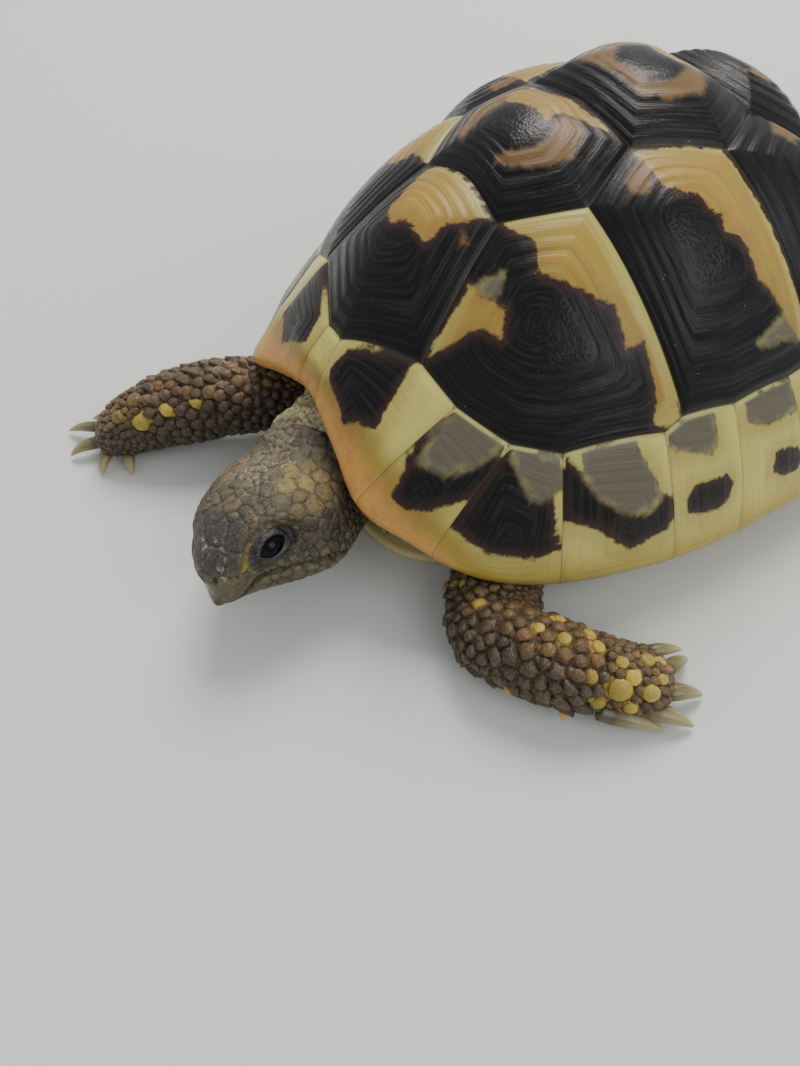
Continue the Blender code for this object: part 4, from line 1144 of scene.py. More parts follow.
fold_depth = fold_depth + 0.18 * fine_bend * (1 - 0.6 * is_head)
points = points + normals * fold_depth[:, None]
set_points(flesh, points)
normals = mesh_normals(flesh)
print("folds:", round(float(fold_depth.min()), 2), "to", round(float(fold_depth.max()), 2), "mm")

# %% [markdown]
# ## Scales
#
# Seeds are scattered over the skin so that no two are nearer than the scale size of that part: small
# round the eyes and on the neck, large on the snout, the temples, the middle of the forelegs and the hind
# feet. Each skin point then belongs to its nearest seed, measured in widths of that seed's scale, and the
# distance to the border with the next seed gives the groove.

# %% Scale sizes
crook = is_left_leg & within(share, 0.30, 0.62) & (facing > 118)
size = np.full(len(points), 1.15)
for part, width in (
        (is_neck, 0.95),
        (is_head & (forward > 14.5) & (z > 1.5) & (mirror_x < 4.5), 2.6),
        (is_head & within(forward, 8.5, 14.5) & (z > 3.0) & (mirror_x < 4.0), 1.5),
        (is_head & within(forward, -0.5, 9.4) & (z > 2.2) & within(mirror_x, 2.6, 10.2), 2.05),
        (is_head & (mirror_x > 4.0) & within(forward, 9.5, 17), 0.85),
        (is_head & (off_line < 0) & (forward > 4), 1.35),
        (is_foreleg, 1.3 + 0.45 * smooth(share, 0.35, 0.6) - 0.65 * smooth(share, 0.76, 0.82)),
        (is_hindleg, 1.1 + 0.8 * smooth(share, 0.5, 1.0)),
        (is_tail, 1.35), (is_foreleg & (share < 0.34), 0.95), (crook, 0.75)):
    size = np.where(part, width, size)


# Large yellow scales: share of the way down the leg, degrees round it, width in mm.
YELLOW_SCALES = {
    "foreleg_left": [
        (0.61, 97, 1.5), (0.67, 135, 1.7), (0.685, 97, 1.8), (0.755, 100, 1.8), (0.735, 125, 1.5),
        (0.82, 82, 1.7), (0.855, 62, 2.1), (0.90, 105, 1.9), (0.84, 38, 3.1), (0.915, 42, 2.3),
        (0.765, 52, 1.5), (0.79, 8, 2.0), (0.95, 72, 1.5), (0.89, 8, 1.8), (0.95, 120, 1.5),
        (0.47, 70, 1.3), (0.39, 40, 1.1)],
    "foreleg_right": [(0.80, 146, 2.8), (0.685, 140, 2.1), (0.61, 140, 1.6)],
    "hindleg_left": [(0.80, 60, 1.8), (0.88, 100, 1.8), (0.90, 30, 1.6), (0.76, 110, 1.5)],
}
YELLOW_SCALES["hindleg_right"] = YELLOW_SCALES["hindleg_left"]
TAN_SCALES = {"foreleg_right": [(0.55, 127, 2.3), (0.50, 114, 2.2), (0.81, 104, 2.6), (0.87, 122, 2.3)]}


def scatter(points, sizes, wanted):
    """Seeds that keep their distance: first the wanted ones, then others in between."""
    finder = finder_of(points)
    free = np.ones(len(points), bool)
    seeds, widths = [], []
    for i, width in wanted:
        seeds.append(i)
        widths.append(width)
        for _, j, _ in finder.find_range(points[i], 0.5 * width + 0.42 * sizes[i]):
            free[j] = False
    for i in chance.permutation(len(points)):
        if free[i]:
            seeds.append(i)
            widths.append(sizes[i] * (0.85 + 0.35 * chance.random()))
            for _, j, _ in finder.find_range(points[i], sizes[i]):
                free[j] = False
    return np.array(seeds), np.array(widths)


wanted = []
for scale_list in (YELLOW_SCALES, TAN_SCALES):
    for name, spots in scale_list.items():
        on_limb = np.flatnonzero(limb == names.index(name))
        for s, turned, width in spots:
            round_about = (facing[on_limb] - turned + 180) % 360 - 180
            wanted.append((on_limb[np.argmin((share[on_limb] - s) ** 2 + (round_about / 500) ** 2)], width))
yellow_count = sum(len(spots) for spots in YELLOW_SCALES.values())
seeds, widths = scatter(points, size, wanted)
seed_finder = finder_of(points[seeds])
NEAR_SEEDS = 7
near_seeds = [seed_finder.find_n(p, NEAR_SEEDS) for p in points]
number = np.array([[k for _, k, _ in found] for found in near_seeds])
reach_of = np.array([[d for _, _, d in found] for found in near_seeds]) / widths[number]
order = np.argsort(reach_of, axis=1)
rows = np.arange(len(points))
first, second = number[rows, order[:, 0]], number[rows, order[:, 1]]
r1, r2 = reach_of[rows, order[:, 0]], reach_of[rows, order[:, 1]]
border = (r2 - r1) * widths[first] * widths[second] / (widths[first] + widths[second])
is_yellow = first < yellow_count
is_tan = (first >= yellow_count) & (first < len(wanted))
print("scales laid out:", len(seeds), "of them large yellow or tan ones:", len(wanted))

# %% Raise the scales
width = widths[first]
roundness = np.clip(border / (0.46 * width), 0, 1)
dome_height = np.where(is_foreleg, 0.34, np.where(is_hindleg | is_tail, 0.26, 0.15)) * np.minimum(width, 2.2)
for part, raised in ((is_head & (width > 1.7), 0.20), (is_trunk | is_neck, 0.11), (crook, 0.08),
                     (is_foreleg & (share < 0.36), 0.20)):
    dome_height = np.where(part, raised, dome_height)
dome_height = dome_height * (1 - lid_share)
height = dome_height * (1 - (1 - roundness) ** 2.0) - 0.5 * dome_height
lean = ((points - points[seeds[first]]) * ahead).sum(1)
height = height + np.where(is_leg | is_tail, 0.22 * lean / width, 0) * smooth(border, 0.0, 0.2)
beak = is_head & (((forward > 17.6) & (off_line > 0) & (z < -0.9)) | ((forward > 16.5) & (off_line < 0)))
beak_share = evened(beak.astype(float), pairs, 8)
height = height * (1 - beak_share) * (1 - eye_depth)
points = points + normals * height[:, None]
points[:, 2] = np.maximum(points[:, 2], 0.02)
set_points(flesh, points)
print("scale relief up to", round(float(height.max()), 2), "mm")

# %% [markdown]
# ## Colour of the skin
#
# Skin colour changes from scale to scale: mostly grey brown, with tan and yellow ones in patches. The
# colour is worked out for every point from its part of the body and from its scale's own number, and is
# stored in the mesh. Some of it is painted shade: on the lower half and the root of the right foreleg,
# in the wrist crease, on the head behind the eyes, in the mouth line, the nostrils and the eye openings.
# The material only adds grooves, grain, dust and gloss.

# %% Paint the scales
TEMPLE = [(2.2, 4.3), (4.5, 2.0), (7.7, 0.8), (10.3, 1.8), (10.8, 6.5), (9.6, 9.2), (7.8, 9.2), (5.2, 8.0)]
own = chance.random(len(seeds))[first]
other = chance.random(len(seeds))[first]
warm_brown = np.array([0.118, 0.078, 0.038])
grey_brown = np.array([0.075, 0.060, 0.045])
dark_brown = np.array([0.030, 0.024, 0.015])
tan = np.array([0.30, 0.21, 0.115])
lemon = np.array([0.46, 0.34, 0.07])
slate = np.array([0.030, 0.031, 0.033])
olive = np.array([0.115, 0.105, 0.055])
paint = np.tile(grey_brown, (len(points), 1))


def tint(mask, colour, amount=1.0):
    """Mix a colour into part of the skin."""
    global paint
    share_of = (np.asarray(mask, float) * amount)[:, None]
    paint = paint * (1 - share_of) + np.asarray(colour) * share_of


tint(is_neck | is_trunk, (0.50, 0.43, 0.27), 0.95)
tint(is_leg, warm_brown, 0.85)
tint(is_leg & (other > 0.72), (0.145, 0.092, 0.040), 0.5)
tint(is_leg & (other < 0.25), (0.085, 0.075, 0.040), 0.6)
tint(is_leg & (own > 0.6), dark_brown, 0.45)
tint(is_leg & (own < 0.14), tan, 0.55)
tint(is_foreleg & (share < 0.30), (0.26, 0.165, 0.085), 0.7)
foot = is_foreleg & (share > 0.80)
tint(is_foreleg & (share > 0.40) & within(facing, -60, 50) & (own < 0.8), (0.035, 0.030, 0.020), 0.5)
tint(foot & (own > 0.3), (0.165, 0.108, 0.048), 0.7)
tint(is_left_leg & within(share, 0.42, 0.78) & (facing < 70) & (own < 0.85), (0.038, 0.033, 0.020), 0.5)
wrist = is_left_leg * bell(share, 0.70, 0.07) * bell(facing, 105, 35)
tint(wrist, (0.24, 0.145, 0.05), 0.6)
# Painted shade in the wrist crease.
tint(crease, (0.020, 0.015, 0.010), 0.9)
tint(crook, (0.19, 0.125, 0.065), 0.8)
# Painted shadow: the lower half of the right foreleg and its root near the shell are darkened.
tint(is_right_leg & ((facing > 138) | (facing < -60)), (0.032, 0.021, 0.012), 0.8)
tint(is_foreleg & (share < 0.25), (0.045, 0.032, 0.020), 0.6 * is_right_leg)
tint(is_yellow & is_leg, (0.43, 0.315, 0.085), 0.90)
tint(is_yellow & (own > 0.6), (0.44, 0.35, 0.10), 0.6)
tint(is_tan, (0.20, 0.14, 0.06), 0.8)
tint(is_tail, (0.22, 0.16, 0.08), 0.7)
tint(is_head, (0.118, 0.096, 0.058), 0.75)
tint(is_head & (own < 0.25), dark_brown, 0.40)
tint(is_head & (own > 0.82), tan, 0.30)
tint(is_head & (forward < 8) & (x < 1.5) & (z > 0), (0.23, 0.18, 0.11), 0.55)
scale_spot = in_head[seeds][first]
patch = smooth(inside(np.stack([np.abs(scale_spot[:, 0]), -scale_spot[:, 1]], -1), TEMPLE), -0.3, 0.3)
patch = patch * smooth(scale_spot[:, 2], 2.6, 3.4)
patch = patch * np.where(x < 0, 0.35, 1.0)
# Painted shadow of the shell on the sides of the head, behind the eyes.
tint(is_head & (mirror_x > 9.8) & within(z, -2, 4) & (forward < 6.5), dark_brown, 0.55)
tint(is_head * patch, np.array([0.205, 0.155, 0.066]) * (0.85 + 0.3 * other[:, None]), 0.85)
tint(is_head & (forward > 14.2) & (z > 1.0) & (mirror_x < 4.6), slate, 0.75)
tint(is_head & within(forward, 4, 13) & within(z, -1.5, 2.6) & (mirror_x > 5), dark_brown, 0.5)
tint(is_head & (forward > 12.2) & (off_line > 0) & (z < 0.2), olive, 0.75)
tint(is_head & (off_line < 0.2) & (forward > 3), (0.095, 0.086, 0.045), 0.75)
tint(is_head * bell(off_line, -0.9, 0.6) * on_side, (0.24, 0.22, 0.14), 0.55)
streak = is_head * bell(forward + 0.75 * (z - 1.2), 17.2, 0.55) * bell(mirror_x, 5.2, 1.6)
streak = streak * within(z, 0.2, 4.0)
tint(streak, lemon, 0.8)
tint(is_head * mound(12.4, 6.4, 4.3, (0.55, 1.5, 0.5), 1.0), lemon, 0.9)
tint(lid_share * is_head, (0.020, 0.022, 0.026), 0.93)
tint(beak_share, olive * 0.55, 0.85)
tint(beak_share * smooth(-z, 2.0, 4.5), (0.075, 0.060, 0.032), 0.6)
# Painted shade along the groove of the mouth line.
tint(np.exp(-(off_line / 0.42) ** 2) * on_side * is_head, (0.012, 0.010, 0.007), 0.92)
# Painted shade inside the nostrils.
tint(np.clip(nostril * 1.6, 0, 1) * is_head, (0.006, 0.005, 0.004), 0.95)
flecks = smooth(np.array([perlin.noise(Vector(p) * 1.3) for p in points]), 0.28, 0.5)
dusty = mound(6.5, 0.5, 8.0, (3.0, 1.5, 2.0), 1.0) + mound(18.2, 1.2, 4.0, (1.0, 1.2, 1.2), 1.0)
dusty = dusty + mound(19.8, 2.0, 1.2, (0.8, 1.6, 0.8), 1.3) + mound(18.6, 4.0, -0.6, (1.0, 1.4, 0.6), 1.0)
tint(is_head * np.clip(dusty * 1.3, 0, 1) * flecks, (0.52, 0.50, 0.44), 0.75)
paint *= (0.75 + 0.45 * other)[:, None]
paint[(is_leg | is_tail) & ~is_yellow] *= (1.08, 0.98, 0.90)
paint[is_head] *= (0.90, 0.91, 0.86)
middle = paint.mean(1, keepdims=True)
paint = middle + (paint - middle) * 1.25
# Painted shade: the skin inside the eye openings, round and behind the eyeballs, is near black.
tint(eye_depth, (0.004, 0.004, 0.004))
gloss = np.where(is_yellow, 0.75, np.where(is_leg, 0.50 + 0.16 * own, 0.36))
gloss = np.maximum(gloss, beak_share)
paint = np.clip(paint, 0.002, 0.8)
print("mean skin colour:", np.round(paint.mean(0), 3))

# %% Skin material
def skin_material(name, groove_mm):
    """Scaly skin: stored colour, dark grooves between scales, fine grain and a soft gloss."""
    mat, shader = new_material(name)
    here, gloss = place_mm(), read("gloss")
    mottle = grain(here, 1.3, 5.0, 0.7)
    dirt = ramp(gloss, 0.68, 0.74, 1.0, 0.25) * ramp(mottle, 0.40, 0.66, 0.0, 0.60)
    colour = blend(dirt, read("paint", "Vector"), (0.03, 0.021, 0.014))
    colour = blend(ramp(grain(here, 3.0, 4.0, 0.65), 0.52, 0.66, 0.0, 0.38), colour, (0.27, 0.20, 0.11))
    border = read("border") + (mottle - 0.5) * 0.12
    dusty = read("dust") * ramp(grain(here, 0.9, 3.0), 0.42, 0.58)
    in_groove = blend(dusty, (0.018, 0.013, 0.010), (0.42, 0.39, 0.32))
    colour = blend(ramp(border, 0.02, groove_mm, 0.80, 0.0), colour, in_groove)
    scuffs = ramp(grain(stretched(here, (1.0, 2.0, 1.4)), 3.2, 4.0, 0.7), 0.60, 0.70, 0.0, 0.5)
    colour = blend(scuffs * (read("dust") * 1.5), colour, (0.50, 0.47, 0.41))
    cells = node("TexVoronoi", "Distance", {"Vector": here, "Scale": 2.6, "Randomness": 0.9},
                 feature="DISTANCE_TO_EDGE")
    relief = bump(ramp(border, 0.0, groove_mm * 1.3), 0.10)
    relief = bump(ramp(cells, 0.0, 0.22), 0.045, relief)
    relief = bump(grain(here, 4.0, 5.0, 0.65), 0.06, relief)
    fill(shader, {"Base Color": colour, "Normal": relief, "Specular IOR Level": 0.45,
                  "Roughness": ramp(gloss - mottle * 0.3, 0.0, 0.6, 0.60, 0.26)})
    return mat


skin_finish = skin_material("scaly_skin", 0.24)
NECK_BORDER, NO_BORDER = 2.2, 2.0
dust = mound(5.5, 0.0, 8.0, (5.5, 4.2, 3.0), 1.0) + mound(19.0, 2.0, 0.6, (2.0, 2.6, 3.6), 0.8)
dust = is_head * np.clip(dust + 0.15 * smooth(z, -5.0, 3.0), 0, 1)
border = border * np.where(is_neck, NECK_BORDER, 1.0) + NO_BORDER * beak_share + NO_BORDER * eye_depth
store(flesh, {"paint": paint, "border": border, "gloss": gloss, "dust": dust})
flesh.name = "skin"
add_piece("skin", flesh, skin_finish, ["trunk", "neck", "head", "lower_jaw", "foreleg_left",
                                               "foreleg_right", "hindleg_left", "hindleg_right", "tail"])
print("skin triangles:", sum(len(f.vertices) - 2 for f in flesh.polygons))

# %% [markdown]
# ## Eyes
#
# A tortoise's eye is dark all over, with a brown iris that hardly shows round a large pupil, and always
# wet. The ball is a fine sphere turned so that its pole looks outwards; the iris is coloured by the
# distance from that pole.

# %% Make the eyes
def eye_material():
    """Wet dark eye with a brown iris."""
    mat, shader = new_material("wet_eye")
    across = read("across")
    streaks = grain(place_mm(), 6.0, 3.0)
    iris = blend(ramp(streaks, 0.3, 0.7), (0.006, 0.005, 0.005), (0.014, 0.010, 0.008))
    colour = blend(ramp(across, 0.36, 0.44), (0.003, 0.003, 0.004), iris)
    colour = blend(ramp(across, 0.62, 0.72), colour, (0.012, 0.010, 0.010))
    fill(shader, {"Base Color": colour, "Roughness": 0.07, "Specular IOR Level": 0.14})
    return mat


eye_finish = eye_material()
for side, (spot, outward, back, over) in eyes.items():
    turns, steps = ((48, 30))
    ball, across = [], []
    for p in np.linspace(0.02, math.pi - 0.02, steps):
        for q in np.linspace(0, 2 * math.pi, turns, endpoint=False):
            bulge = 1 + 0.035 * math.exp(-(p / 0.5) ** 2)
            ball.append(spot + EYE_RADIUS * bulge * (outward * math.cos(p) + math.sin(p)
                                                     * (back * math.cos(q) + over * math.sin(q))))
            across.append(p / 1.3)
    make_piece(f"eyeball_{side}", from_head(np.array(ball)), closed_rows(steps, turns), eye_finish,
               {"across": np.array(across)}, [f"eye_{side}"])
print("eyes of radius", EYE_RADIUS, "mm")

# %% Eyelids
LID_PROFILE = ((0.90, -0.05), (0.92, 0.12), (0.97, 0.27), (1.05, 0.38), (1.16, 0.44), (1.28, 0.43),
               (1.40, 0.36), (1.54, 0.20), (1.66, -0.25))


def eyelid_material():
    """Bare, smooth, dark grey skin with a few soft creases."""
    mat, shader = new_material("eyelid_skin")
    creases = grain(stretched(place_mm(), (1.2, 1.2, 1.2)), 1.0, 3.0)
    fill(shader, {"Base Color": read("paint", "Vector"), "Normal": bump(creases, 0.10), "Roughness": 0.42,
                  "Specular IOR Level": 0.35})
    return mat


eyelid_finish = eyelid_material()
for side, (spot, outward, back, over) in eyes.items():
    turns = 72
    q = once_round(turns)
    lid = []
    for ring, above in LID_PROFILE:
        a = EYE_LONG * ring * np.cos(q)
        corner_power = np.interp(ring, [0.9, 1.8], [1.3, 1.0])
        b = EYE_HIGH * ring * np.sign(np.sin(q)) * np.abs(np.sin(q)) ** corner_power
        b = b - LID_BOW * a ** 2 / EYE_LONG + 0.1
        depth = np.sqrt(np.maximum((EYE_RADIUS + above) ** 2 - a ** 2 - b ** 2, 0.2))
        lid.append(spot + a[:, None] * back + b[:, None] * over + depth[:, None] * outward)
    points_of_lid = from_head(np.concatenate(lid))
    around = np.array([perlin.noise(Vector(p) * 0.9) for p in points_of_lid])
    tone = np.repeat([0.45 if ring < 1.0 else 1.0 for ring, _ in LID_PROFILE], turns)
    values = {"paint": np.array([0.030, 0.031, 0.034]) * (tone * (1 + 0.7 * around))[:, None]}
    faces = quad_rows(len(LID_PROFILE), turns, True)
    make_piece(f"eyelids_{side}", points_of_lid, flipped(faces) if side == "right" else faces, eyelid_finish,
               values)
print("eyelids wrap", round(2 * EYE_LONG * LID_PROFILE[-1][0], 1), "mm round each eye")

# %% [markdown]
# ## Claws
#
# Claws are blunt, slightly arched cones of horn. They are olive yellow and paler towards the tip, with
# fine lines along them.

# %% Claw places
# Each claw: its root, its tip, its half width and its half height, in mm.
CLAWS = {
    "claw_left": [
        ((50.4, -25.4, 4.6), (51.9, -21.0, 3.2), 1.0, 0.9),
        ((53.3, -24.8, 3.4), (52.6, -20.2, 1.0), 1.2, 1.1),
        ((55.8, -26.6, 3.0), (57.8, -22.0, 0.8), 1.3, 1.2),
        ((56.2, -30.4, 3.0), (60.6, -25.9, 0.8), 1.45, 1.3),
        ((54.4, -34.6, 3.2), (59.0, -29.6, 0.8), 1.55, 1.3)],
    "claw_right": [
        ((-37.4, -74.0, 3.0), (-42.0, -77.2, 1.0), 1.0, 0.9),
        ((-37.2, -77.0, 2.8), (-41.9, -81.9, 0.8), 1.1, 1.0),
        ((-34.0, -78.6, 2.5), (-35.5, -83.4, 0.8), 1.25, 1.1),
        ((-30.4, -77.4, 2.5), (-27.8, -79.9, 0.8), 1.2, 1.1),
        ((-27.8, -74.4, 2.5), (-24.8, -75.2, 0.8), 1.1, 1.1)],
    "hind_left": [
        ((37.6, 48.0, 2.4), (41.6, 50.8, 0.8), 1.3, 1.2), ((39.9, 45.3, 2.4), (44.8, 46.6, 0.8), 1.3, 1.2),
        ((40.3, 42.0, 2.4), (45.2, 41.8, 0.8), 1.3, 1.2), ((38.9, 38.9, 2.4), (43.0, 37.0, 0.8), 1.2, 1.2)],
    "hind_right": [
        ((-39.2, 44.0, 2.4), (-43.4, 46.2, 0.8), 1.3, 1.2),
        ((-41.1, 41.0, 2.4), (-46.1, 41.5, 0.8), 1.3, 1.2),
        ((-41.2, 37.7, 2.4), (-46.1, 36.7, 0.8), 1.3, 1.2),
        ((-39.2, 34.8, 2.4), (-43.1, 32.2, 0.8), 1.2, 1.2)],
}


def claw_material():
    """Olive horn, paler towards the tip, with lines along the claw."""
    mat, shader = new_material("claw_horn")
    down = read("down")
    lines = grain(read("spoke", "Vector"), 5.0, 3.0)
    colour = blend(ramp(down, 0.0, 0.9), (0.15, 0.12, 0.05), (0.38, 0.33, 0.145))
    colour = blend(ramp(lines, 0.4, 0.65, 0.0, 0.45), colour, (0.09, 0.065, 0.03))
    colour = blend(ramp(down, 0.12, 0.0, 0.0, 0.7), colour, (0.05, 0.035, 0.02))
    fill(shader, {"Base Color": colour, "Normal": bump(lines, 0.03), "Roughness": 0.32,
                  "Subsurface Weight": 0.15, "Subsurface Radius": (0.001, 0.0008, 0.0004)})
    return mat


claw_finish = claw_material()


def claw(name, root, tip, wide, high, stands_for=(), finish=claw_finish):
    """One claw from its root in the foot to its tip."""
    root, tip = np.array(root), np.array(tip)
    way = (tip - root) / np.linalg.norm(tip - root)
    side = np.cross(way, [0, 0, 1.0])
    side /= np.linalg.norm(side)
    up = np.cross(side, way)
    rows, sides = ((22, 20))
    points, down, spoke = [], [], []
    for s in np.linspace(-0.25, 1.0, rows):
        thick = np.interp(s, [-0.25, 0.25, 0.65, 0.92, 1.0], [1.0, 0.97, 0.66, 0.32, 0.12])
        hub = root + (tip - root) * s + up * 0.45 * math.sin(math.pi * max(0.0, s)) * high
        for q in np.linspace(0, 2 * math.pi, sides, endpoint=False):
            flat = 0.8 if math.sin(q) < 0 else 1.0
            spot = hub + side * math.cos(q) * wide * thick + up * math.sin(q) * high * thick * flat
            points.append((spot[0], spot[1], max(spot[2], 0.0)))
            down.append(max(0.0, s))
            spoke.append((math.cos(q), math.sin(q), s * 0.25))
    return make_piece(f"{name}_horn", np.array(points), flipped(closed_rows(rows, sides)), finish,
                      {"down": down, "spoke": np.array(spoke)}, stands_for)


for foot_name, claws in CLAWS.items():
    for i, (root, tip, wide_of, high_of) in enumerate(claws, 1):
        stands_for = [f"{foot_name}_{i}"] if foot_name.startswith("claw") else ()
        claw(f"{foot_name}_{i}", root, tip, wide_of, high_of, stands_for)
print("claws:", sum(len(c) for c in CLAWS.values()))

# %% [markdown]
# ## Loose scales on legs and tail
#
# On the forelegs the scales aren't only pebbles in the skin: the ones on the outer side have free tips
# that point down the leg and overlap, which makes its outline jagged. They are small solids of their own,
# each with a raised tip and a root sunk in the skin, joined into one mesh for each limb. Each takes the
# colour of the skin scale on which it sits, with painted shading: lighter towards the tip, darker at the
# sunk root. Each also gets a small patch of its own on a flat map, laid out by the share of the limb's
# length and the degrees round it.

# %% One scale and the coat of a limb
SCALE_RINGS, SCALE_SIDES = (0.35, 0.7, 0.92, 1.0, 0.98), 12
ROOT_DEPTH, LOWEST = 0.55, 0.05
MAP_PATCH = 0.0015


def coat(name, picked, rise, lift, point):
    """Joined scales on the picked seeds: how high they rise, lift their tips and how pointed they are."""
    here = seeds[picked]
    out, way, wide = normals[here], ahead[here], widths[picked]
    way = way - out * (way * out).sum(1, keepdims=True)
    way /= np.linalg.norm(way, axis=1, keepdims=True)
    aside = np.cross(out, way)
    turn = once_round(SCALE_SIDES)
    reach = np.concatenate([[0.0], np.repeat(SCALE_RINGS, SCALE_SIDES)])
    turns = np.concatenate([[0.0], np.tile(turn, len(SCALE_RINGS))])
    skirt = np.arange(len(reach)) >= len(reach) - SCALE_SIDES
    tip = np.maximum(0, np.cos(turns))
    plump = np.where(skirt, -ROOT_DEPTH, rise * (1 - reach ** 2.4))
    longer = 0.50 * (1 + point[:, None] * tip ** 3) * reach
    a, b = longer * np.cos(turns), 0.50 * reach * np.sin(turns) * (1 - 0.30 * point[:, None] * tip ** 2)
    up = plump + lift[:, None] * reach ** 1.5 * np.cos(turns) * ~skirt - 0.05
    shape = a[..., None] * way[:, None] + b[..., None] * aside[:, None] + up[..., None] * out[:, None]
    verts = points[here][:, None] + wide[:, None, None] * shape
    verts[..., 2] = np.maximum(verts[..., 2], LOWEST)
    one = [(0, 1 + k, 1 + (k + 1) % SCALE_SIDES) for k in range(SCALE_SIDES)]
    one += [tuple(1 + i for i in f) for f in flipped(quad_rows(len(SCALE_RINGS), SCALE_SIDES, True))]
    count = len(reach)
    faces = [tuple(i + count * k for i in f) for k in range(len(picked)) for f in one]
    # Painted shading on each loose scale: lighter towards its raised tip, and its sunk root darker.
    shade = 0.80 + 0.35 * reach * (0.5 + 0.5 * np.cos(turns))
    colour = paint[here][:, None] * np.where(skirt, 0.35, shade)[None, :, None]
    values = {"paint": colour.reshape(-1, 3), "gloss": np.repeat(gloss[here], count),
              "border": np.tile(np.where(skirt, 0.0, NO_BORDER), len(picked)),
              "dust": np.zeros(len(picked) * count)}
    obj = make_piece(name, verts.reshape(-1, 3), faces, skin_finish, values)
    tile = (limb[here] + 0.05 + 0.9 * share[here]) / len(names)
    level = 0.02 + 0.96 * (facing[here] + 180) / 360
    patch = np.stack([tile[:, None] + MAP_PATCH * reach * np.cos(turns),
                      level[:, None] + MAP_PATCH * reach * np.sin(turns)], -1)
    corners = array_of(obj.data.loops, "vertex_index", 1, np.int32)[:, 0]
    unwrap = obj.data.uv_layers.new(name="OFBake")
    unwrap.data.foreach_set("uv", patch.reshape(-1, 2)[corners].astype(np.float32).ravel())
    return obj


# %% Dress the limbs
seed_share, seed_facing = share[seeds], facing[seeds]
bare = crook[seeds] | (crease[seeds] >= 0.25) | (points[seeds][:, 2] <= 0.6)
lucky = chance.random(len(seeds))
coat_triangles = 0
for name, start, end in (("foreleg_left", 0.36, 0.97), ("foreleg_right", 0.25, 0.97),
                         ("hindleg_left", 0.45, 0.97), ("hindleg_right", 0.45, 0.97), ("tail", 0.30, 0.90)):
    mine = (limb[seeds] == names.index(name)) & within(seed_share, start, end)
    picked = np.flatnonzero(mine & ~bare)
    outer = bell(seed_facing[picked], -15 if name == "foreleg_left" else 35, 75)
    outer = outer * (0.35 + 0.65 * (lucky[picked] > 0.45))
    if name == "foreleg_right":
        outer = np.maximum(outer, bell(seed_facing[picked], 80, 60) * (lucky[picked] > 0.3))
    outer = np.where(picked < len(wanted), 0.05, outer)
    outer = outer * (0.5 if name.startswith("hind") or name == "tail" else 1.0)
    made = coat(f"scales_{name}", picked, 0.20, 0.06 + 0.24 * outer, 0.85 * outer)
    coat_triangles += sum(len(f.vertices) - 2 for f in made.data.polygons)
    print(made.name, "has", len(picked), "scales")
print("coat triangles:", coat_triangles)

# %% [markdown]
# ## Spurs
#
# Along the lower edge of the left foreleg two scales grow into horny spurs, orange at the tip. They are
# made like claws, only smaller.

# %% Make the spurs
def spur_material():
    """Orange horn with a darker root."""
    mat, shader = new_material("spur_horn")
    specks = grain(place_mm(), 2.5, 3.0)
    colour = blend(ramp(read("down"), 0.1, 0.8), (0.11, 0.060, 0.022), (0.50, 0.22, 0.030))
    colour = blend(ramp(specks, 0.45, 0.7, 0.0, 0.5), colour, (0.42, 0.33, 0.08))
    fill(shader, {"Base Color": colour, "Normal": bump(specks, 0.04), "Roughness": 0.38})
    return mat


spur_finish = spur_material()
SPURS = [((43.9, -43.4, 5.2), (45.6, -44.8, 3.9), 0.85, 0.75),
         ((50.2, -39.2, 3.9), (51.8, -40.2, 2.7), 0.85, 0.7)]
for i, (root, tip_of_spur, wide_of, high_of) in enumerate(SPURS, 1):
    claw(f"spur_{i}", root, tip_of_spur, wide_of, high_of, (), spur_finish)
print("spurs:", len(SPURS))

# %% [markdown]
# ## Belly plate
#
# The plastron is flat horn over bone. One seam runs down its middle and five cross it, so it has twelve
# scutes. Its edge turns up in a soft round, and black patches lie along each side on a straw ground, in
# two broken bands.

# %% Plastron
CROSS_SEAMS = (-38.5, -27.0, -17.5, 13.0, 29.5)
BELLY_BLOTCHES = [[(5, -25), (13, -26), (20, -19), (14, -14), (6, -16)],
                  [(5, -10), (16, -12), (21, -2), (20, 9), (7, 10)],
                  [(6, 16), (15, 15), (20, 22), (12, 28), (6, 26)], [(4, 33), (11, 32), (13, 38), (6, 41)],
                  [(7, -35), (12, -36), (12, -30), (7, -31)]]


def belly_material():
    """Straw-coloured horn with dark patches, seams and fine growth lines."""
    mat, shader = new_material("belly_horn")
    here = place_mm()
    ragged = (grain(here, 0.5, 4.0, 0.6) - 0.5) * 3.0
    lines = grain(stretched(here, (0.25, 2.2, 0.5)), 1.0, 4.0)
    pale = blend(lines, (0.50, 0.42, 0.17), (0.56, 0.46, 0.22))
    pale = blend(ramp(grain(here, 0.08, 2.0), 0.4, 0.7, 0.0, 0.5), pale, (0.50, 0.36, 0.13))
    colour = blend(ramp(read("blotch") + ragged, -0.3, 0.5), pale, (0.022, 0.016, 0.013))
    side, length = (node("SeparateXYZ", key, {"Vector": here}) for key in (0, 1))
    side = maths("ABSOLUTE", side)
    bent = maths("POWER", 2.718, side * -0.2) * 2.0
    nearest = side
    for place in CROSS_SEAMS:
        nearest = maths("MINIMUM", nearest, maths("ABSOLUTE", length - place + bent))
    colour = blend(ramp(nearest, 0.45, 0.12, 0.0, 0.7), colour, (0.12, 0.085, 0.045))
    relief = bump(lines, 0.06, bump(ramp(nearest, 0.0, 0.5), 0.25))
    fill(shader, {"Base Color": colour, "Normal": relief, "Roughness": ramp(lines, 0.3, 0.7, 0.34, 0.48)})
    return mat


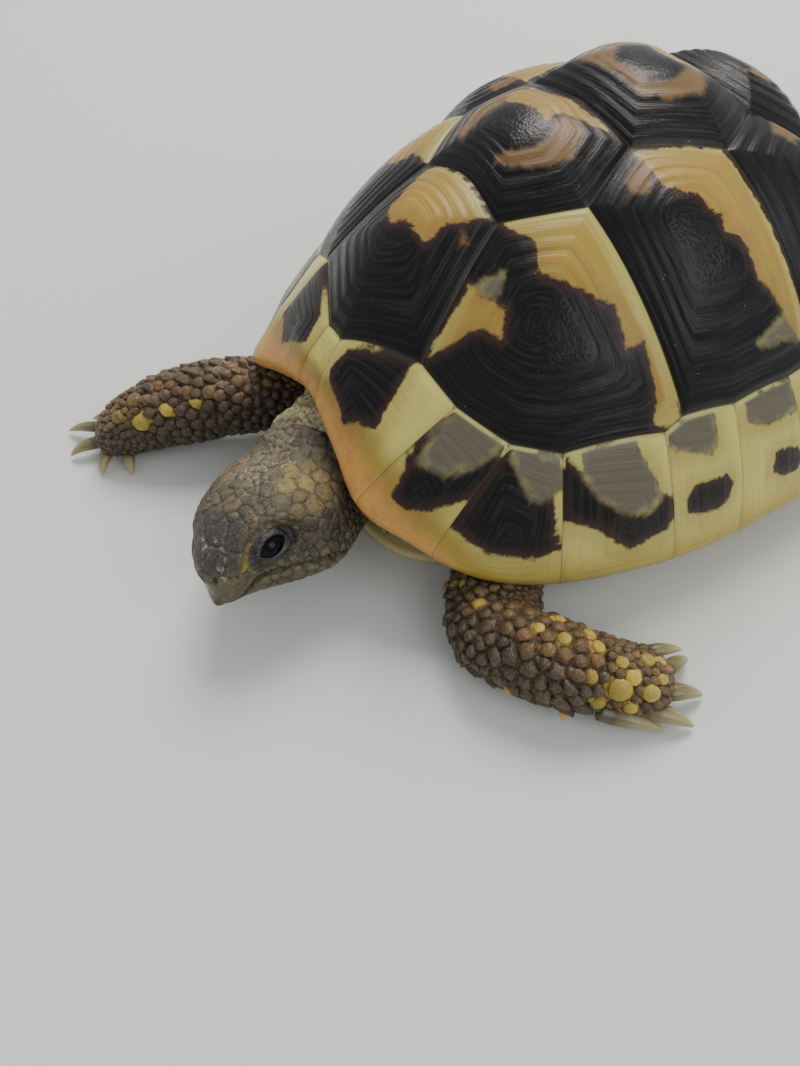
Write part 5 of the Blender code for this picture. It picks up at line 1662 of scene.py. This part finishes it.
def belly_plate():
    """The plastron as rings from its middle to its edge, over the edge and back on top."""
    columns = 300
    angle = np.linspace(-180, 180, columns, endpoint=False)
    a = np.radians(angle)
    way, reach = np.stack([np.sin(a), -np.cos(a)], -1), belly_reach(angle)
    profile = [(share_out, -2.4, 0.0) for share_out in np.linspace(0.02, 1.0, 60)]
    profile += [(1.0, -1.5, 0.10), (1.0, -0.8, 0.35), (1.0, -0.3, 0.75), (1.0, 0.0, 1.25), (1.0, -0.15, 2.0),
                (1.0, -0.8, PLASTRON_THICK)]
    rings, blotch = [], []
    for share_out, inset, height in profile:
        ring = way * ((reach + inset) * share_out)[:, None]
        side, length = np.abs(ring[:, 0]), ring[:, 1]
        rings.append(np.concatenate([ring, np.full((columns, 1), height)], -1))
        patch = np.full(columns, FAR_OUT)
        for outline in BELLY_BLOTCHES:
            patch = np.maximum(patch, inside(np.stack([side, length], -1), outline))
        blotch.append(patch)
    return make_piece("belly_plate", np.concatenate(rings), flipped(closed_rows(len(rings), columns)),
                      belly_material(), {"blotch": np.concatenate(blotch)}, ["plastron"])


belly = belly_plate()
print("belly plate points:", len(belly.data.vertices))


# %% [markdown]
# ## Ground, light and camera
#
# The ground is plain and pale. A bright, even sky gives soft shadows, and one large window and the
# room's own light stand at the two sides of the shell, so that the horn shines on its ridges. The camera
# looks down on the animal's left front.

# %% Stage
stage_mat, shader = new_material("pale_ground")
fill(shader, {"Base Color": (0.63, 0.64, 0.60), "Roughness": 0.9})
bpy.ops.mesh.primitive_plane_add(size=4.0, location=(0, 0, 0))
ground = bpy.context.object
ground.name = "ground"
ground.data.materials.append(stage_mat)

world = bpy.data.worlds.new("soft_room")
bpy.context.scene.world = world
world.use_nodes = True
fill(world.node_tree.nodes["Background"], {"Color": (0.93, 0.96, 1.0), "Strength": 0.62})


def soft_light(name, place, target, size, power, colour):
    """A square area light that faces a target."""
    data = bpy.data.lights.new(name, "AREA")
    data.shape, data.size, data.energy, data.color = "SQUARE", size, power, colour
    obj = bpy.data.objects.new(name, data)
    obj.location = place
    obj.rotation_euler = (Vector(target) - Vector(place)).to_track_quat("-Z", "Y").to_euler()
    bpy.context.scene.collection.objects.link(obj)


soft_light("window", (-0.35, 0.35, 0.75), (0, 0, 0.02), 0.45, 8.5, (1.0, 0.98, 0.95))
soft_light("room", (0.7, 0.2, 0.6), (0, 0, 0.02), 0.6, 3.5, (0.95, 0.98, 1.0))

camera_data = bpy.data.cameras.new("camera")
camera_data.lens, camera_data.sensor_width, camera_data.clip_start = 28.77, 36.0, 0.005
camera = bpy.data.objects.new("camera", camera_data)
camera.location = (0.0872, -0.0730, 0.1079)
camera.rotation_euler = tuple(math.radians(a) for a in (36.77, 5.52, 60.67))
bpy.context.scene.collection.objects.link(camera)
bpy.context.scene.camera = camera
